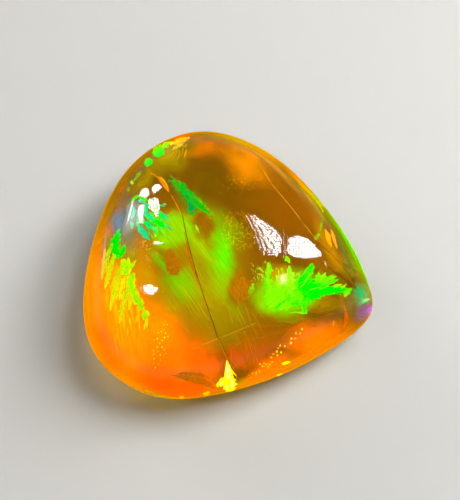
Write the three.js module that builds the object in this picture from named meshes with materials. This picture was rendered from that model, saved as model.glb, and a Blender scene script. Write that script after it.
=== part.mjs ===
// A free-form cabochon of amber precious opal, polished from one piece of stone.
// It has a high full dome, a blunt girdle that runs round to a soft point on +X,
// a wall that tucks in under the girdle, and a flat back that it rests on.
// Millimetres, +Z up. The origin is the middle of the stone's footprint, on the back.
import * as THREE from "three";

const domeTop = 17.2; // from the flat back to the top of the dome
const girdleHeight = 4.6; // from the flat back to the widest line of the stone
const tuckShare = 0.1; // how far the wall draws in below the girdle, as a share of the width
const tuckPower = 2.2; // over 1: the wall leaves the girdle upright and leans in lower down
const domeFullness = 2.35; // 2 is an ellipse, and more pushes the shoulders outwards
const shoulderRound = 2.05; // the same for the rise of the shoulders
const apex = new THREE.Vector2(-1, 0.7); // the dome's top, beside the middle of the footprint
const keelSoftness = 0.6; // how fast the rings round off above the girdle, so that the point's keel fades

const segmentsRound = 84;
const domeRings = 22;
const wallRings = 6;

// Corners that pull the girdle's line into shape, anticlockwise from the point on +X.
const girdleCorners = [
  [17.8, -5],
  [15.6, 2.1],
  [8.5, 11.9],
  [1.7, 16.6],
  [-5.5, 18],
  [-13, 13.4],
  [-17, 4.8],
  [-18.9, -10.1],
  [-12.5, -15.9],
  [-6.2, -18.1],
  [7.6, -14.4],
  [17.9, -7.4],
].map(([x, y]) => new THREE.Vector2(x, y));

// A point of the closed cubic B-spline that the corners pull, at a turn from 0 to 1.
function girdlePoint(turn) {
  const along = turn * girdleCorners.length;
  const span = Math.floor(along);
  const t = along - span;
  const weights = [
    (1 - t) ** 3 / 6,
    (3 * t ** 3 - 6 * t ** 2 + 4) / 6,
    (-3 * t ** 3 + 3 * t ** 2 + 3 * t + 1) / 6,
    t ** 3 / 6,
  ];
  const point = new THREE.Vector2();
  weights.forEach((weight, k) => {
    const corner = (span + k - 1 + girdleCorners.length) % girdleCorners.length;
    point.addScaledVector(girdleCorners[corner], weight);
  });
  return point;
}

// The girdle's line, moved so that its box is centred on the origin.
function girdleLine() {
  const line = [];
  for (let i = 0; i < segmentsRound; i++) line.push(girdlePoint(i / segmentsRound));
  const middle = new THREE.Box2().setFromPoints(line).getCenter(new THREE.Vector2());
  return line.map((point) => point.sub(middle));
}

// Rings from just under the dome's top down to the girdle. Near the top they are round.
function domeSection(line) {
  const spokes = line.map((point) => point.clone().sub(apex));
  const meanRadius = spokes.reduce((sum, spoke) => sum + spoke.length(), 0) / spokes.length;
  const rings = [];
  for (let i = 1; i <= domeRings; i++) {
    const angle = (Math.PI / 2) * (1 - i / domeRings);
    const reach = Math.cos(angle) ** (2 / domeFullness);
    const rise = Math.sin(angle) ** (2 / shoulderRound);
    const height = girdleHeight + (domeTop - girdleHeight) * rise;
    const ring = spokes.map((spoke) => {
      const radius = THREE.MathUtils.lerp(meanRadius, spoke.length(), reach ** keelSoftness);
      const flat = spoke.clone().setLength(reach * radius).add(apex);
      return new THREE.Vector3(flat.x, flat.y, height);
    });
    rings.push(ring);
  }
  return rings;
}

// Rings from under the girdle down to the edge of the flat back.
function wallSection(line) {
  const rings = [];
  for (let i = 1; i <= wallRings; i++) {
    const drop = i / wallRings;
    const reach = 1 - tuckShare * drop ** tuckPower;
    const height = girdleHeight * (1 - drop);
    rings.push(line.map((point) => new THREE.Vector3(point.x * reach, point.y * reach, height)));
  }
  return rings;
}

// Skins the rings into one closed body, with a point at the top and a flat back.
function skin(rings, top, bottom) {
  const count = segmentsRound;
  const places = [top, ...rings.flat(), bottom];
  const last = places.length - 1;
  const at = (row, step) => 1 + row * count + (step % count);
  const faces = [];
  for (let step = 0; step < count; step++) {
    faces.push(0, at(0, step), at(0, step + 1));
    for (let row = 0; row < rings.length - 1; row++) {
      faces.push(at(row, step), at(row + 1, step), at(row + 1, step + 1));
      faces.push(at(row, step), at(row + 1, step + 1), at(row, step + 1));
    }
    faces.push(last, at(rings.length - 1, step + 1), at(rings.length - 1, step));
  }
  const geometry = new THREE.BufferGeometry().setFromPoints(places);
  geometry.setIndex(faces);
  geometry.computeVertexNormals();
  return geometry;
}

function opalStone() {
  const line = girdleLine();
  const rings = [...domeSection(line), ...wallSection(line)];
  const top = new THREE.Vector3(apex.x, apex.y, domeTop);
  const geometry = skin(rings, top, new THREE.Vector3(0, 0, 0));
  const amberOpal = new THREE.MeshStandardMaterial({
    color: 0xe07a12,
    roughness: 0.06,
    metalness: 0,
    transparent: true,
    opacity: 0.75,
  });
  const mesh = new THREE.Mesh(geometry, amberOpal);
  mesh.name = "opal_cabochon";
  return mesh;
}

const cabochon = new THREE.Group();
cabochon.add(opalStone());

export default cabochon;
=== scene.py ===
# A free-form cabochon of amber precious opal, polished, resting on its flat back.
# The stone is one clear body. Its play of colour, fractures and pinpoints lie inside it.
import bpy
import math
import random
from mathutils import Matrix, Vector, noise
from mathutils.bvhtree import BVHTree
from mathutils.interpolate import poly_3d_calc


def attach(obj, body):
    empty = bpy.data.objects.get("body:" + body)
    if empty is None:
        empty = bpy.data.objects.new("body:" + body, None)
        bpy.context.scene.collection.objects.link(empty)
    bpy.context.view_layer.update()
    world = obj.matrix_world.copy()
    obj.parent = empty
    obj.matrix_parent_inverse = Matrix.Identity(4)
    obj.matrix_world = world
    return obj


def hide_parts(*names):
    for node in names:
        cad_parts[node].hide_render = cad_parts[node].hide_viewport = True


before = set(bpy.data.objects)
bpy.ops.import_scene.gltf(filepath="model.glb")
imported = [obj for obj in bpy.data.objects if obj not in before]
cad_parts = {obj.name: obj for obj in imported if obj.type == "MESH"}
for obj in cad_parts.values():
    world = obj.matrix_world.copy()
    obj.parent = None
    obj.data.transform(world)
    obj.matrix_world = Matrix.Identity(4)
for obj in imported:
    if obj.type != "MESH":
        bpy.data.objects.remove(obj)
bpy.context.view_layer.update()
mm = 0.001
stage = bpy.context.scene
stage.view_settings.view_transform = "Standard"  # keeps the pure greens and oranges of the stone
stage.cycles.transparent_max_bounces = 64  # several thin veils lie behind each other in the stone
stage.cycles.max_bounces = 32  # light runs round inside the dome before it leaves
stage.cycles.transmission_bounces = 32
stage.cycles.glossy_bounces = 16


# Small helpers for node trees

def wire(tree, node, values):  # each input gets another node's output or a plain value
    for key, value in values.items():
        if isinstance(value, bpy.types.NodeSocket):
            tree.links.new(value, node.inputs[key])
        else:
            node.inputs[key].default_value = value
    return node


def put(tree, kind, values=None, **settings):  # a new node
    node = tree.nodes.new(kind)
    for key, value in settings.items():
        setattr(node, key, value)
    return wire(tree, node, values or {})


def calc(tree, operation, *values):
    return put(tree, "ShaderNodeMath", dict(enumerate(values)), operation=operation).outputs[0]


def plus(tree, first, second):
    return calc(tree, "ADD", first, second)


def minus(tree, first, second):
    return calc(tree, "SUBTRACT", first, second)


def times(tree, first, second):
    return calc(tree, "MULTIPLY", first, second)


def over(tree, first, second):
    return calc(tree, "DIVIDE", first, second)


def vcalc(tree, operation, *values):
    node = put(tree, "ShaderNodeVectorMath", dict(enumerate(values)), operation=operation)
    return node.outputs["Value" if operation in ("LENGTH", "DOT_PRODUCT") else "Vector"]


def scaled(tree, vector, factor):
    return put(tree, "ShaderNodeVectorMath", {0: vector, "Scale": factor}, operation="SCALE").outputs[0]


def parts(tree, vector):  # its X, Y and Z
    return put(tree, "ShaderNodeSeparateXYZ", {0: vector}).outputs


def joined(tree, *numbers):  # a vector from its X, Y and Z
    return put(tree, "ShaderNodeCombineXYZ", dict(enumerate(numbers))).outputs[0]


def turned(tree, vector, angle):  # about Z
    return put(tree, "ShaderNodeVectorRotate", {
        "Vector": vector, "Angle": angle,
    }, rotation_type="Z_AXIS").outputs[0]


def levelled(tree, vector, turn):  # turned back, so that a patch with this turn lies level
    return turned(tree, vector, times(tree, turn, -1.0))


def ramp(tree, value, low, high, toLow=0.0, toHigh=1.0):  # a smooth step from low to high
    return put(tree, "ShaderNodeMapRange", {
        "Value": value, "From Min": low, "From Max": high, "To Min": toLow, "To Max": toHigh,
    }, interpolation_type="SMOOTHSTEP").outputs[0]


def blend(tree, factor, first, second):
    return put(tree, "ShaderNodeMix", {"Factor": factor, "A": first, "B": second}).outputs["Result"]


# Each kind of value has a socket of its own under the same name, so here the sockets go by number

def blendColour(tree, factor, first, second):
    return put(tree, "ShaderNodeMix", {0: factor, 6: first, 7: second}, data_type="RGBA").outputs[2]


def chance(tree, low, high, seed):  # a random number between two bounds
    return put(tree, "FunctionNodeRandomValue", {"Seed": seed, 2: low, 3: high}, data_type="FLOAT").outputs[1]


def newTree(name, inputs):  # a Geometry Nodes tree with named inputs, and the sockets that carry them
    tree = bpy.data.node_groups.new(name, "GeometryNodeTree")
    tree.interface.new_socket("Geometry", in_out="INPUT", socket_type="NodeSocketGeometry")
    tree.interface.new_socket("Geometry", in_out="OUTPUT", socket_type="NodeSocketGeometry")
    for labels, kind in inputs.items():
        for label in labels.split():
            tree.interface.new_socket(label, in_out="INPUT", socket_type="NodeSocket" + kind)
    return tree, put(tree, "NodeGroupInput").outputs


def endTree(tree, geometry, material):
    plain = put(tree, "GeometryNodeRealizeInstances", {"Geometry": geometry})
    dressed = put(tree, "GeometryNodeSetMaterial", {"Geometry": plain.outputs[0], "Material": material})
    put(tree, "NodeGroupOutput", {"Geometry": dressed.outputs[0]})
    return tree


def smoothed(tree, geometry):
    return put(tree, "GeometryNodeSetShadeSmooth", {"Geometry": geometry}).outputs[0]


def named(tree, label, kind="FLOAT_VECTOR"):
    return put(tree, "GeometryNodeInputNamedAttribute", {"Name": label}, data_type=kind).outputs[0]


def store(tree, geometry, label, value, kind):
    return put(tree, "GeometryNodeStoreNamedAttribute", {
        "Geometry": geometry, "Name": label, "Value": value,
    }, data_type=kind, domain="POINT").outputs[0]


def painted(tree, label, output="Color"):  # what a mesh stores under a name, for its material
    return put(tree, "ShaderNodeAttribute", attribute_name=label).outputs[output]


def newMaterial(name, values):  # a material with these values on its shader, its node tree and the shader
    material = bpy.data.materials.new(name)
    material.use_nodes = True
    tree = material.node_tree
    return material, tree, wire(tree, tree.nodes["Principled BSDF"], values)


# Meshes and pieces

def newMesh(name, places, faces, edges=()):
    mesh = bpy.data.meshes.new(name)
    mesh.from_pydata(places, edges, faces)
    return mesh


def paint(mesh, label, kind, rows):  # stores numbers at the points of a mesh
    key = {"FLOAT": "value", "FLOAT_COLOR": "color", "FLOAT_VECTOR": "vector"}[kind]
    data = mesh.attributes.new(label, kind, "POINT").data
    data.foreach_set(key, [number for row in rows for number in row])


def facesOf(index):  # the quads whose four corners are all there; an index's keys end in a row and a column
    faces = []
    for *sheet, row, column in index:
        ring = [(*sheet, row + down, column + right) for down, right in ((0, 0), (1, 0), (1, 1), (0, 1))]
        if all(corner in index for corner in ring):
            faces.append([index[corner] for corner in ring])
    return faces


def linked(name, data):
    piece = bpy.data.objects.new(name, data)
    stage.collection.objects.link(piece)
    return piece


def settle(piece):  # turns what the modifiers make into the piece's own plain mesh
    bpy.context.view_layer.update()
    result = bpy.data.meshes.new_from_object(piece.evaluated_get(bpy.context.evaluated_depsgraph_get()))
    piece.modifiers.clear()
    piece.data = result
    result.name = piece.name
    return piece


def grow(name, tree, host, *layers):  # runs a tree over a host mesh, once for each set of values
    piece = linked(name, host)
    for values in layers:
        modifier = piece.modifiers.new(tree.name, "NODES")
        modifier.node_group = tree
        for item in tree.interface.items_tree:
            if item.name in values:
                modifier[item.identifier] = values[item.name]
    return settle(piece)


# The stone's outer shape

stone = {
    "domeTop": 17.2 * mm,  # from the flat back to the top of the dome
    "girdleHeight": 4.6 * mm,
    "tuckShare": 0.1,  # how far the wall draws in below the girdle
    "tuckPower": 2.2,
    "domeFullness": 2.35,
    "shoulderRound": 2.05,
    "apex": Vector((-1.0, 0.7, 0.0)) * mm,
    "keelSoftness": 0.6,
    "columns": 288,
    "domeRows": 96,
    "wallRows": 16,
    "waviness": 0.02 * mm,  # hand polishing leaves the dome very slightly uneven
    "waveSize": 7.0 * mm,
    "backEdge": 0.25 * mm,  # the edge of the back is dulled
    "backSteepness": math.radians(40.0),  # only edges sharper than this are dulled
    "weldGap": 0.002 * mm,
    "tint": (1.0, 0.74, 0.14, 1.0),
    "roughness": 0.02,
    "ior": 1.42,
    "bodyColour": (0.94, 0.86, 0.0, 1.0),  # what the stone lets through, and how quickly it takes the rest
    "bodyDensity": 150.0,
    "girdleCorners": [  # they pull the girdle's line into shape, anticlockwise from the point on +X
        (17.8, -5.0), (15.6, 2.1), (8.5, 11.9), (1.7, 16.6), (-5.5, 18.0), (-13.0, 13.4),
        (-17.0, 4.8), (-18.9, -10.1), (-12.5, -15.9), (-6.2, -18.1), (7.6, -14.4), (17.9, -7.4),
    ],
}


def girdlePoint(turn):  # a point of the closed cubic B-spline that the corners pull
    corners = stone["girdleCorners"]
    span, t = divmod(turn * len(corners), 1.0)
    weights = (
        (1 - t) ** 3 / 6,
        (3 * t ** 3 - 6 * t ** 2 + 4) / 6,
        (-3 * t ** 3 + 3 * t ** 2 + 3 * t + 1) / 6,
        t ** 3 / 6,
    )
    point = Vector((0.0, 0.0, 0.0))
    for k, weight in enumerate(weights):
        x, y = corners[(int(span) + k - 1) % len(corners)]
        point += Vector((x, y, 0.0)) * weight * mm
    return point


def girdleLoop():  # the girdle's line as a loop of edges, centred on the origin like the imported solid
    count = stone["columns"]
    line = [girdlePoint(i / count) for i in range(count)]
    xs = [p.x for p in line]
    ys = [p.y for p in line]
    middle = Vector(((min(xs) + max(xs)) / 2, (min(ys) + max(ys)) / 2, 0.0))
    return newMesh("girdle", [p - middle for p in line], [], [(i, (i + 1) % count) for i in range(count)])


def domedStoneTree():
    tree, given = newTree("domed stone", {
        "columns domeRows wallRows": "Int", "apex": "Vector", "material": "Material",
        "domeTop girdleHeight domeFullness shoulderRound keelSoftness": "Float",
        "tuckShare tuckPower waviness waveSize weldGap": "Float",
    })
    position = put(tree, "GeometryNodeInputPosition").outputs[0]
    rows = plus(tree, given["domeRows"], given["wallRows"])
    inColumn = plus(tree, rows, 2)
    grid = put(tree, "GeometryNodeMeshGrid", {
        "Vertices X": plus(tree, given["columns"], 1), "Vertices Y": inColumn,
    }).outputs["Mesh"]
    index = put(tree, "GeometryNodeInputIndex").outputs[0]
    column = calc(tree, "FLOOR", over(tree, plus(tree, index, 0.5), inColumn))
    row = minus(tree, index, times(tree, column, inColumn))
    onGirdle = put(tree, "GeometryNodeSampleIndex", {
        "Geometry": given["Geometry"], "Value": position,
        "Index": calc(tree, "FLOORED_MODULO", column, given["columns"]),
    }, data_type="FLOAT_VECTOR").outputs[0]

    # How far along the dome and the wall a row lies
    domeShare = calc(tree, "MINIMUM", over(tree, row, given["domeRows"]), 1.0)
    angle = times(tree, domeShare, math.pi / 2)
    reach = calc(tree, "POWER", calc(tree, "SINE", angle), over(tree, 2.0, given["domeFullness"]))
    fall = calc(tree, "MAXIMUM", calc(tree, "COSINE", angle), 0.0)
    rise = calc(tree, "POWER", fall, over(tree, 2.0, given["shoulderRound"]))
    wallShare = over(tree, minus(tree, row, given["domeRows"]), given["wallRows"])
    drop = calc(tree, "MINIMUM", calc(tree, "MAXIMUM", wallShare, 0.0), 1.0)
    tuck = times(tree, given["tuckShare"], calc(tree, "POWER", drop, given["tuckPower"]))
    onBody = calc(tree, "LESS_THAN", row, plus(tree, rows, 0.5))  # 0 only at the middle of the back
    wallReach = times(tree, minus(tree, 1.0, tuck), onBody)

    # The rings round off towards the top, so that the keel of the point fades
    spoke = vcalc(tree, "SUBTRACT", onGirdle, given["apex"])
    meanRadius = put(tree, "GeometryNodeAttributeStatistic", {
        "Geometry": given["Geometry"],
        "Attribute": vcalc(tree, "LENGTH", vcalc(tree, "SUBTRACT", position, given["apex"])),
    }).outputs["Mean"]
    fade = calc(tree, "POWER", reach, given["keelSoftness"])
    radius = blend(tree, fade, meanRadius, vcalc(tree, "LENGTH", spoke))
    outwards = scaled(tree, vcalc(tree, "NORMALIZE", spoke), times(tree, reach, radius))
    flat = scaled(tree, vcalc(tree, "ADD", outwards, given["apex"]), wallReach)
    overGirdle = times(tree, minus(tree, given["domeTop"], given["girdleHeight"]), rise)
    toGirdle = times(tree, given["girdleHeight"], minus(tree, 1.0, drop))
    east, north, up = parts(tree, flat)
    at = joined(tree, east, north, plus(tree, overGirdle, toGirdle))
    skin = put(tree, "GeometryNodeSetPosition", {"Geometry": grid, "Position": at}).outputs[0]
    merged = put(tree, "GeometryNodeMergeByDistance", {
        "Geometry": skin, "Distance": given["weldGap"],
    }).outputs[0]
    closed = put(tree, "GeometryNodeFlipFaces", {"Mesh": merged}).outputs[0]

    # A faint unevenness of the polish, which leaves the back flat
    waves = put(tree, "ShaderNodeTexNoise", {
        "Vector": position, "Scale": over(tree, 1.0, given["waveSize"]), "Detail": 1.0,
    }).outputs[0]
    overBack = ramp(tree, parts(tree, position)[2], 0.0, given["girdleHeight"])
    push = times(tree, minus(tree, waves, 0.5), overBack)
    amount = times(tree, push, times(tree, given["waviness"], 2.0))
    offset = scaled(tree, put(tree, "GeometryNodeInputNormal").outputs[0], amount)
    polished = put(tree, "GeometryNodeSetPosition", {"Geometry": closed, "Offset": offset}).outputs[0]
    return endTree(tree, smoothed(tree, polished), given["material"])


def amberOpal():
    glass, tree, surface = newMaterial("amberOpal", {
        "Base Color": stone["tint"], "Roughness": stone["roughness"], "IOR": stone["ior"],
        "Transmission Weight": 1.0,
    })
    body = put(tree, "ShaderNodeVolumeAbsorption", {
        "Color": stone["bodyColour"], "Density": stone["bodyDensity"],
    })
    wire(tree, tree.nodes["Material Output"], {"Volume": body.outputs[0]})
    return glass


def makeStone():
    body = grow("opalBody", domedStoneTree(), girdleLoop(), {**stone, "material": amberOpal()})
    edge = body.modifiers.new("dulled edge of the back", "BEVEL")
    edge.width = stone["backEdge"]
    edge.segments = 3
    edge.angle_limit = stone["backSteepness"]
    settle(body)
    for face in body.data.polygons:
        face.use_smooth = True
    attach(body, "root")
    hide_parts("opal_cabochon")
    return body


opalBody = makeStone()
print("stone shaped:", len(opalBody.data.polygons), "faces")


# The camera looks down on the dome from the front

view = {
    "lens": 85.0,
    "sensor": 36.0,  # along the picture's long side
    "elevation": math.radians(66.0),
    "distance": 147.0 * mm,
    "aim": Vector((0.25, 1.28, 6.0)) * mm,
    "picture": (460, 500),
    "clipStart": 5.0 * mm,
}
focal = view["lens"] / view["sensor"] * max(view["picture"])  # in picture pixels
pixel = view["distance"] / focal  # what one picture pixel spans at the stone


def placeCamera():
    lens = bpy.data.cameras.new("camera")
    lens.lens = view["lens"]
    lens.sensor_width = view["sensor"]
    lens.sensor_height = view["sensor"]
    lens.clip_start = view["clipStart"]
    camera = linked("camera", lens)
    back = Vector((0.0, -math.cos(view["elevation"]), math.sin(view["elevation"])))
    right = Vector((1.0, 0.0, 0.0))
    turn = Matrix((right, back.cross(right), back)).transposed()
    camera.matrix_world = Matrix.Translation(view["aim"] + back * view["distance"]) @ turn.to_4x4()
    stage.camera = camera
    return camera


camera = placeCamera()
skinTree = BVHTree.FromPolygons(
    [v.co for v in opalBody.data.vertices], [tuple(p.vertices) for p in opalBody.data.polygons])


def pictureRay(px, py):  # from the camera through a point of the picture
    wide, high = view["picture"]
    inCamera = Vector((px - wide / 2, high / 2 - py, -focal)).normalized()
    return camera.matrix_world.translation, camera.matrix_world.to_3x3() @ inCamera


def onPolish(px, py):  # where the ray meets the polish, the smooth normal there, and the ray
    eye, towards = pictureRay(px, py)
    hit, flatNormal, face, distance = skinTree.ray_cast(eye, towards)
    if hit is None:
        return None
    vertices = opalBody.data.vertices
    ring = opalBody.data.polygons[face].vertices
    weights = poly_3d_calc([vertices[i].co for i in ring], hit)
    normal = sum((vertices[i].normal * w for i, w in zip(ring, weights)), Vector()).normalized()
    return hit, normal, towards


skinGap = 0.07 * mm  # nothing inside the stone comes nearer to its skin


def lookInside(px, py, share):  # what shows there at this share of the way from the polish to the far side
    seen = onPolish(px, py)
    if seen is None:
        return None
    hit, normal, towards = seen
    eta = 1 / stone["ior"]
    cosine = -towards.dot(normal)
    slant = math.sqrt(max(0.0, 1 - eta ** 2 * (1 - cosine ** 2)))
    bent = (eta * towards + (eta * cosine - slant) * normal).normalized()
    start = hit + bent * skinGap
    far, farNormal, face, distance = skinTree.ray_cast(start, bent)
    if far is None or distance < 2 * skinGap:
        return None
    return start + bent * (distance - skinGap) * share, distance


# Sheets inside the stone, which carry the play of colour. Each point keeps its spot in the picture's plane,
# in metres, and the directions that run right and up in the picture

def sheetMesh(name, rows):  # rows of (place, spot) or None, from the top down
    places = []
    spots = []
    index = {}
    for j, row in enumerate(rows):
        for i, point in enumerate(row):
            if point is not None:
                index[j, i] = len(places)
                places.append(point[0])
                spots.append(point[1])
    rights = []
    ups = []
    for (j, i), here in index.items():
        left, right = index.get((j, i - 1), here), index.get((j, i + 1), here)
        up, down = index.get((j - 1, i), here), index.get((j + 1, i), here)
        rights.append((places[right] - places[left]).normalized())
        ups.append((places[up] - places[down]).normalized())
    mesh = newMesh(name, places, facesOf(index))
    paint(mesh, "spot", "FLOAT_VECTOR", spots)
    paint(mesh, "pictureRight", "FLOAT_VECTOR", rights)
    paint(mesh, "pictureUp", "FLOAT_VECTOR", ups)
    return mesh


outlineHalvings = 6
besideSteps = [(-1, 0), (1, 0), (0, -1), (0, 1), (-1, -1), (1, 1), (-1, 1), (1, -1)]


def lookNear(outside, inside, share):  # halves its way to the last spot that the stone covers between the two
    for k in range(outlineHalvings):
        halfway = (outside + inside) / 2
        if lookInside(*halfway, share) is None:
            outside = halfway
        else:
            inside = halfway
    return inside


def onSheet(spots, share):  # spots of the picture, moved to the outline where they lie just beyond it
    shown = [[lookInside(*spot, share) for spot in row] for row in spots]
    grid = []
    for j, row in enumerate(spots):
        points = []
        for i, spot in enumerate(row):
            seen = shown[j][i]
            beside = [] if seen else [(i + right, j + down) for right, down in besideSteps]
            for a, b in beside:
                if 0 <= a < len(row) and 0 <= b < len(spots) and shown[b][a]:
                    spot = lookNear(spot, spots[b][a], share)
                    seen = lookInside(*spot, share)
                    break
            points.append(seen and (seen[0], spot))
        grid.append(points)
    return grid


def inPlane(spot):  # a spot of the picture, in metres and with its second number upwards
    return Vector((spot[0], -spot[1], 0.0)) * pixel


def boxSheet(name, middle, reach, share, step):  # a sheet over a box of the picture
    stops = []
    for centre, half in zip(middle, reach):
        count = max(4, round(2 * half / step))
        stops.append([centre + (2 * i / count - 1) * half / pixel for i in range(count + 1)])
    spots = [[Vector((px, py)) for px in stops[0]] for py in stops[1]]
    grid = []
    for row in onSheet(spots, share):
        grid.append([point and (point[0], inPlane(point[1])) for point in row])
    return sheetMesh(name, grid)


def smoothRoute(points, step):  # a Catmull-Rom line through points of the picture
    line = []
    for k in range(len(points) - 1):
        p0, p1, p2, p3 = (Vector(points[min(max(0, k + ahead), len(points) - 1)]) for ahead in (-1, 0, 1, 2))
        count = max(1, round((p2 - p1).length / step))
        for i in range(count):
            t = i / count
            line.append(0.5 * (2 * p1 + (p2 - p0) * t + (2 * p0 - 5 * p1 + 4 * p2 - p3) * t ** 2
                               + (3 * p1 - p0 - 3 * p2 + p3) * t ** 3))
    line.append(Vector(points[-1]))
    return line


def lengthsAlong(line):  # how far along it each point lies, in metres
    lengths = [0.0]
    for here, ahead in zip(line, line[1:]):
        lengths.append(lengths[-1] + (ahead - here).length * pixel)
    return lengths


def sideOf(line, k):  # the direction square to a line of the picture at one of its points
    ahead = line[min(k + 1, len(line) - 1)] - line[max(k - 1, 0)]
    return Vector((ahead.y, -ahead.x)).normalized()


def routeSheet(name, points, halfWidth, share, step, across=8):  # a strip along a line of the picture
    line = smoothRoute(points, step / pixel)
    lengths = lengthsAlong(line)
    sides = [sideOf(line, k) for k in range(len(line))]
    outs = [1 - 2 * j / across for j in range(across + 1)]  # in half widths, from one edge to the other
    spots = [[point + side * out * halfWidth / pixel for point, side in zip(line, sides)] for out in outs]
    grid = []
    for out, row in zip(outs, onSheet(spots, share)):
        away = out * halfWidth
        grid.append([point and (point[0], Vector((lengths[k], away, 0.0))) for k, point in enumerate(row)])
    return sheetMesh(name, grid), lengths[-1]


def curtainSheet(name, points, lean, shares, step, down=8):  # goes down into the stone below a line
    line = smoothRoute(points, step / pixel)
    lengths = lengthsAlong(line)
    grid = []
    for j in range(down + 1):
        out = lean * j / down
        share = shares[0] + (shares[1] - shares[0]) * j / down
        row = []
        for k, point in enumerate(line):
            place = lookInside(*(point + sideOf(line, k) * out / pixel), share)
            row.append(place and (place[0], Vector((lengths[k], out, 0.0))))
        grid.append(row)
    return sheetMesh(name, grid)


# Patches of fire

fireLook = {
    "finish": {"Roughness": 0.5, "Specular IOR Level": 0.0},  # inside the stone no plate has its own gloss
    "lines": {"Scale": 1.4, "Detail": 4.0, "Roughness": 0.65},  # darker lines along the grain of a plate
    "lineEdges": (0.35, 0.65, 0.62, 1.0),  # where they fade out, and how dark they are
    "tears": {"Scale": 1.0, "Detail": 3.0, "Roughness": 0.6},  # of a patch's edge, along its grain
    "splinters": {"Scale": 0.8, "Randomness": 1.0},
    "heartEdge": (0.0, 0.55),  # how far in the fringe's colour gives way to the heart's
    "fleckEdge": (0.7, 0.8),  # the splinters with a higher number than this have the fleck's colour
}
patchInputs = {
    "middle reach grain": "Vector", "turn raggedness splinters seed": "Float", "heart fringe fleck": "Color",
    "material": "Material",
}


def patchField(tree, given):  # a field, over 0 inside the torn patch, and the sheet with its colours
    level = levelled(tree, vcalc(tree, "SUBTRACT", named(tree, "spot"), given["middle"]), given["turn"])
    inside = minus(tree, 1.0, vcalc(tree, "LENGTH", vcalc(tree, "DIVIDE", level, given["reach"])))
    grain = vcalc(tree, "DIVIDE", level, given["grain"])
    place = {"Vector": grain, "W": given["seed"]}
    torn = put(tree, "ShaderNodeTexNoise", {**place, **fireLook["tears"]}, noise_dimensions="4D").outputs[0]
    cells = put(tree, "ShaderNodeTexVoronoi", {**place, **fireLook["splinters"]}, voronoi_dimensions="4D")
    depth, fleck, spare = parts(tree, cells.outputs["Color"])
    tear = times(tree, minus(tree, torn, 0.5), times(tree, given["raggedness"], 2.0))
    splinter = times(tree, minus(tree, depth, 0.5), given["splinters"])
    field = plus(tree, inside, plus(tree, tear, splinter))
    body = blendColour(tree, ramp(tree, inside, *fireLook["heartEdge"]), given["fringe"], given["heart"])
    colour = blendColour(tree, ramp(tree, fleck, *fireLook["fleckEdge"]), body, given["fleck"])
    coloured = store(tree, given["Geometry"], "fire", colour, "FLOAT_COLOR")
    return field, store(tree, coloured, "grain", grain, "FLOAT_VECTOR")


def flakeTree():  # a torn plate of fire: the sheet keeps only the faces inside the patch
    tree, given = newTree("fire flake", patchInputs)
    field, coloured = patchField(tree, given)
    kept = put(tree, "GeometryNodeDeleteGeometry", {
        "Geometry": coloured, "Selection": calc(tree, "LESS_THAN", field, 0.0),
    }, domain="FACE").outputs[0]
    return endTree(tree, kept, given["material"])


sliverLook = {
    "step": 0.25 * mm,  # of the sheet that they lie on
    "thickness": 0.05 * mm,
    "mostlyShort": 1.8,  # over 1: more short ones than long ones
    "breadths": (0.25, 0.75),  # half widths, in breadths
}


def sliverTree():  # a brush of thin splinters of fire that fan out from one place
    tree, given = newTree("fire slivers", {
        **patchInputs, "fanCentre": "Vector", "density stray shortest longest breadth thickness": "Float",
    })
    field, coloured = patchField(tree, given)
    scattered = put(tree, "GeometryNodeDistributePointsOnFaces", {
        "Mesh": coloured,
        "Density": times(tree, given["density"], calc(tree, "GREATER_THAN", field, 0.0)),
        "Seed": given["seed"],
    }, distribute_method="RANDOM").outputs
    seeds = [plus(tree, given["seed"], salt) for salt in (1, 2, 3)]
    away = vcalc(tree, "NORMALIZE", vcalc(tree, "SUBTRACT", named(tree, "spot"), given["fanCentre"]))
    strayed = chance(tree, times(tree, given["stray"], -1.0), given["stray"], seeds[0])
    part = parts(tree, turned(tree, away, strayed))
    along = vcalc(tree, "ADD", scaled(tree, named(tree, "pictureRight"), part[0]),
                  scaled(tree, named(tree, "pictureUp"), part[1]))
    turn = put(tree, "FunctionNodeAlignRotationToVector", {"Vector": along}, axis="X").outputs[0]
    turn = put(tree, "FunctionNodeAlignRotationToVector", {
        "Rotation": turn, "Vector": scattered["Normal"],
    }, axis="Z", pivot_axis="X").outputs[0]
    mostlyShort = calc(tree, "POWER", chance(tree, 0.0, 1.0, seeds[1]), sliverLook["mostlyShort"])
    long = blend(tree, mostlyShort, given["shortest"], given["longest"])
    size = joined(tree, times(tree, long, 0.5),
                  times(tree, given["breadth"], chance(tree, *sliverLook["breadths"], seeds[2])),
                  times(tree, given["thickness"], 0.5))
    splinter = put(tree, "GeometryNodeMeshUVSphere", {"Segments": 6, "Rings": 4, "Radius": 1.0})
    placed = put(tree, "GeometryNodeInstanceOnPoints", {
        "Points": scattered["Points"], "Instance": splinter.outputs["Mesh"], "Rotation": turn, "Scale": size,
    })
    return endTree(tree, placed.outputs[0], given["material"])


def pinpointTree():  # tiny round inclusions
    tree, given = newTree("pinpoints", {**patchInputs, "density apart smallest largest": "Float"})
    field, coloured = patchField(tree, given)
    scattered = put(tree, "GeometryNodeDistributePointsOnFaces", {
        "Mesh": coloured, "Distance Min": given["apart"], "Density Max": given["density"],
        "Density Factor": calc(tree, "GREATER_THAN", field, 0.0), "Seed": given["seed"],
    }, distribute_method="POISSON")
    dot = put(tree, "GeometryNodeMeshIcoSphere", {"Radius": 1.0, "Subdivisions": 2})
    placed = put(tree, "GeometryNodeInstanceOnPoints", {
        "Points": scattered.outputs["Points"], "Instance": dot.outputs["Mesh"],
        "Scale": chance(tree, given["smallest"], given["largest"], given["seed"]),
    })
    return endTree(tree, smoothed(tree, placed.outputs[0]), given["material"])


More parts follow.
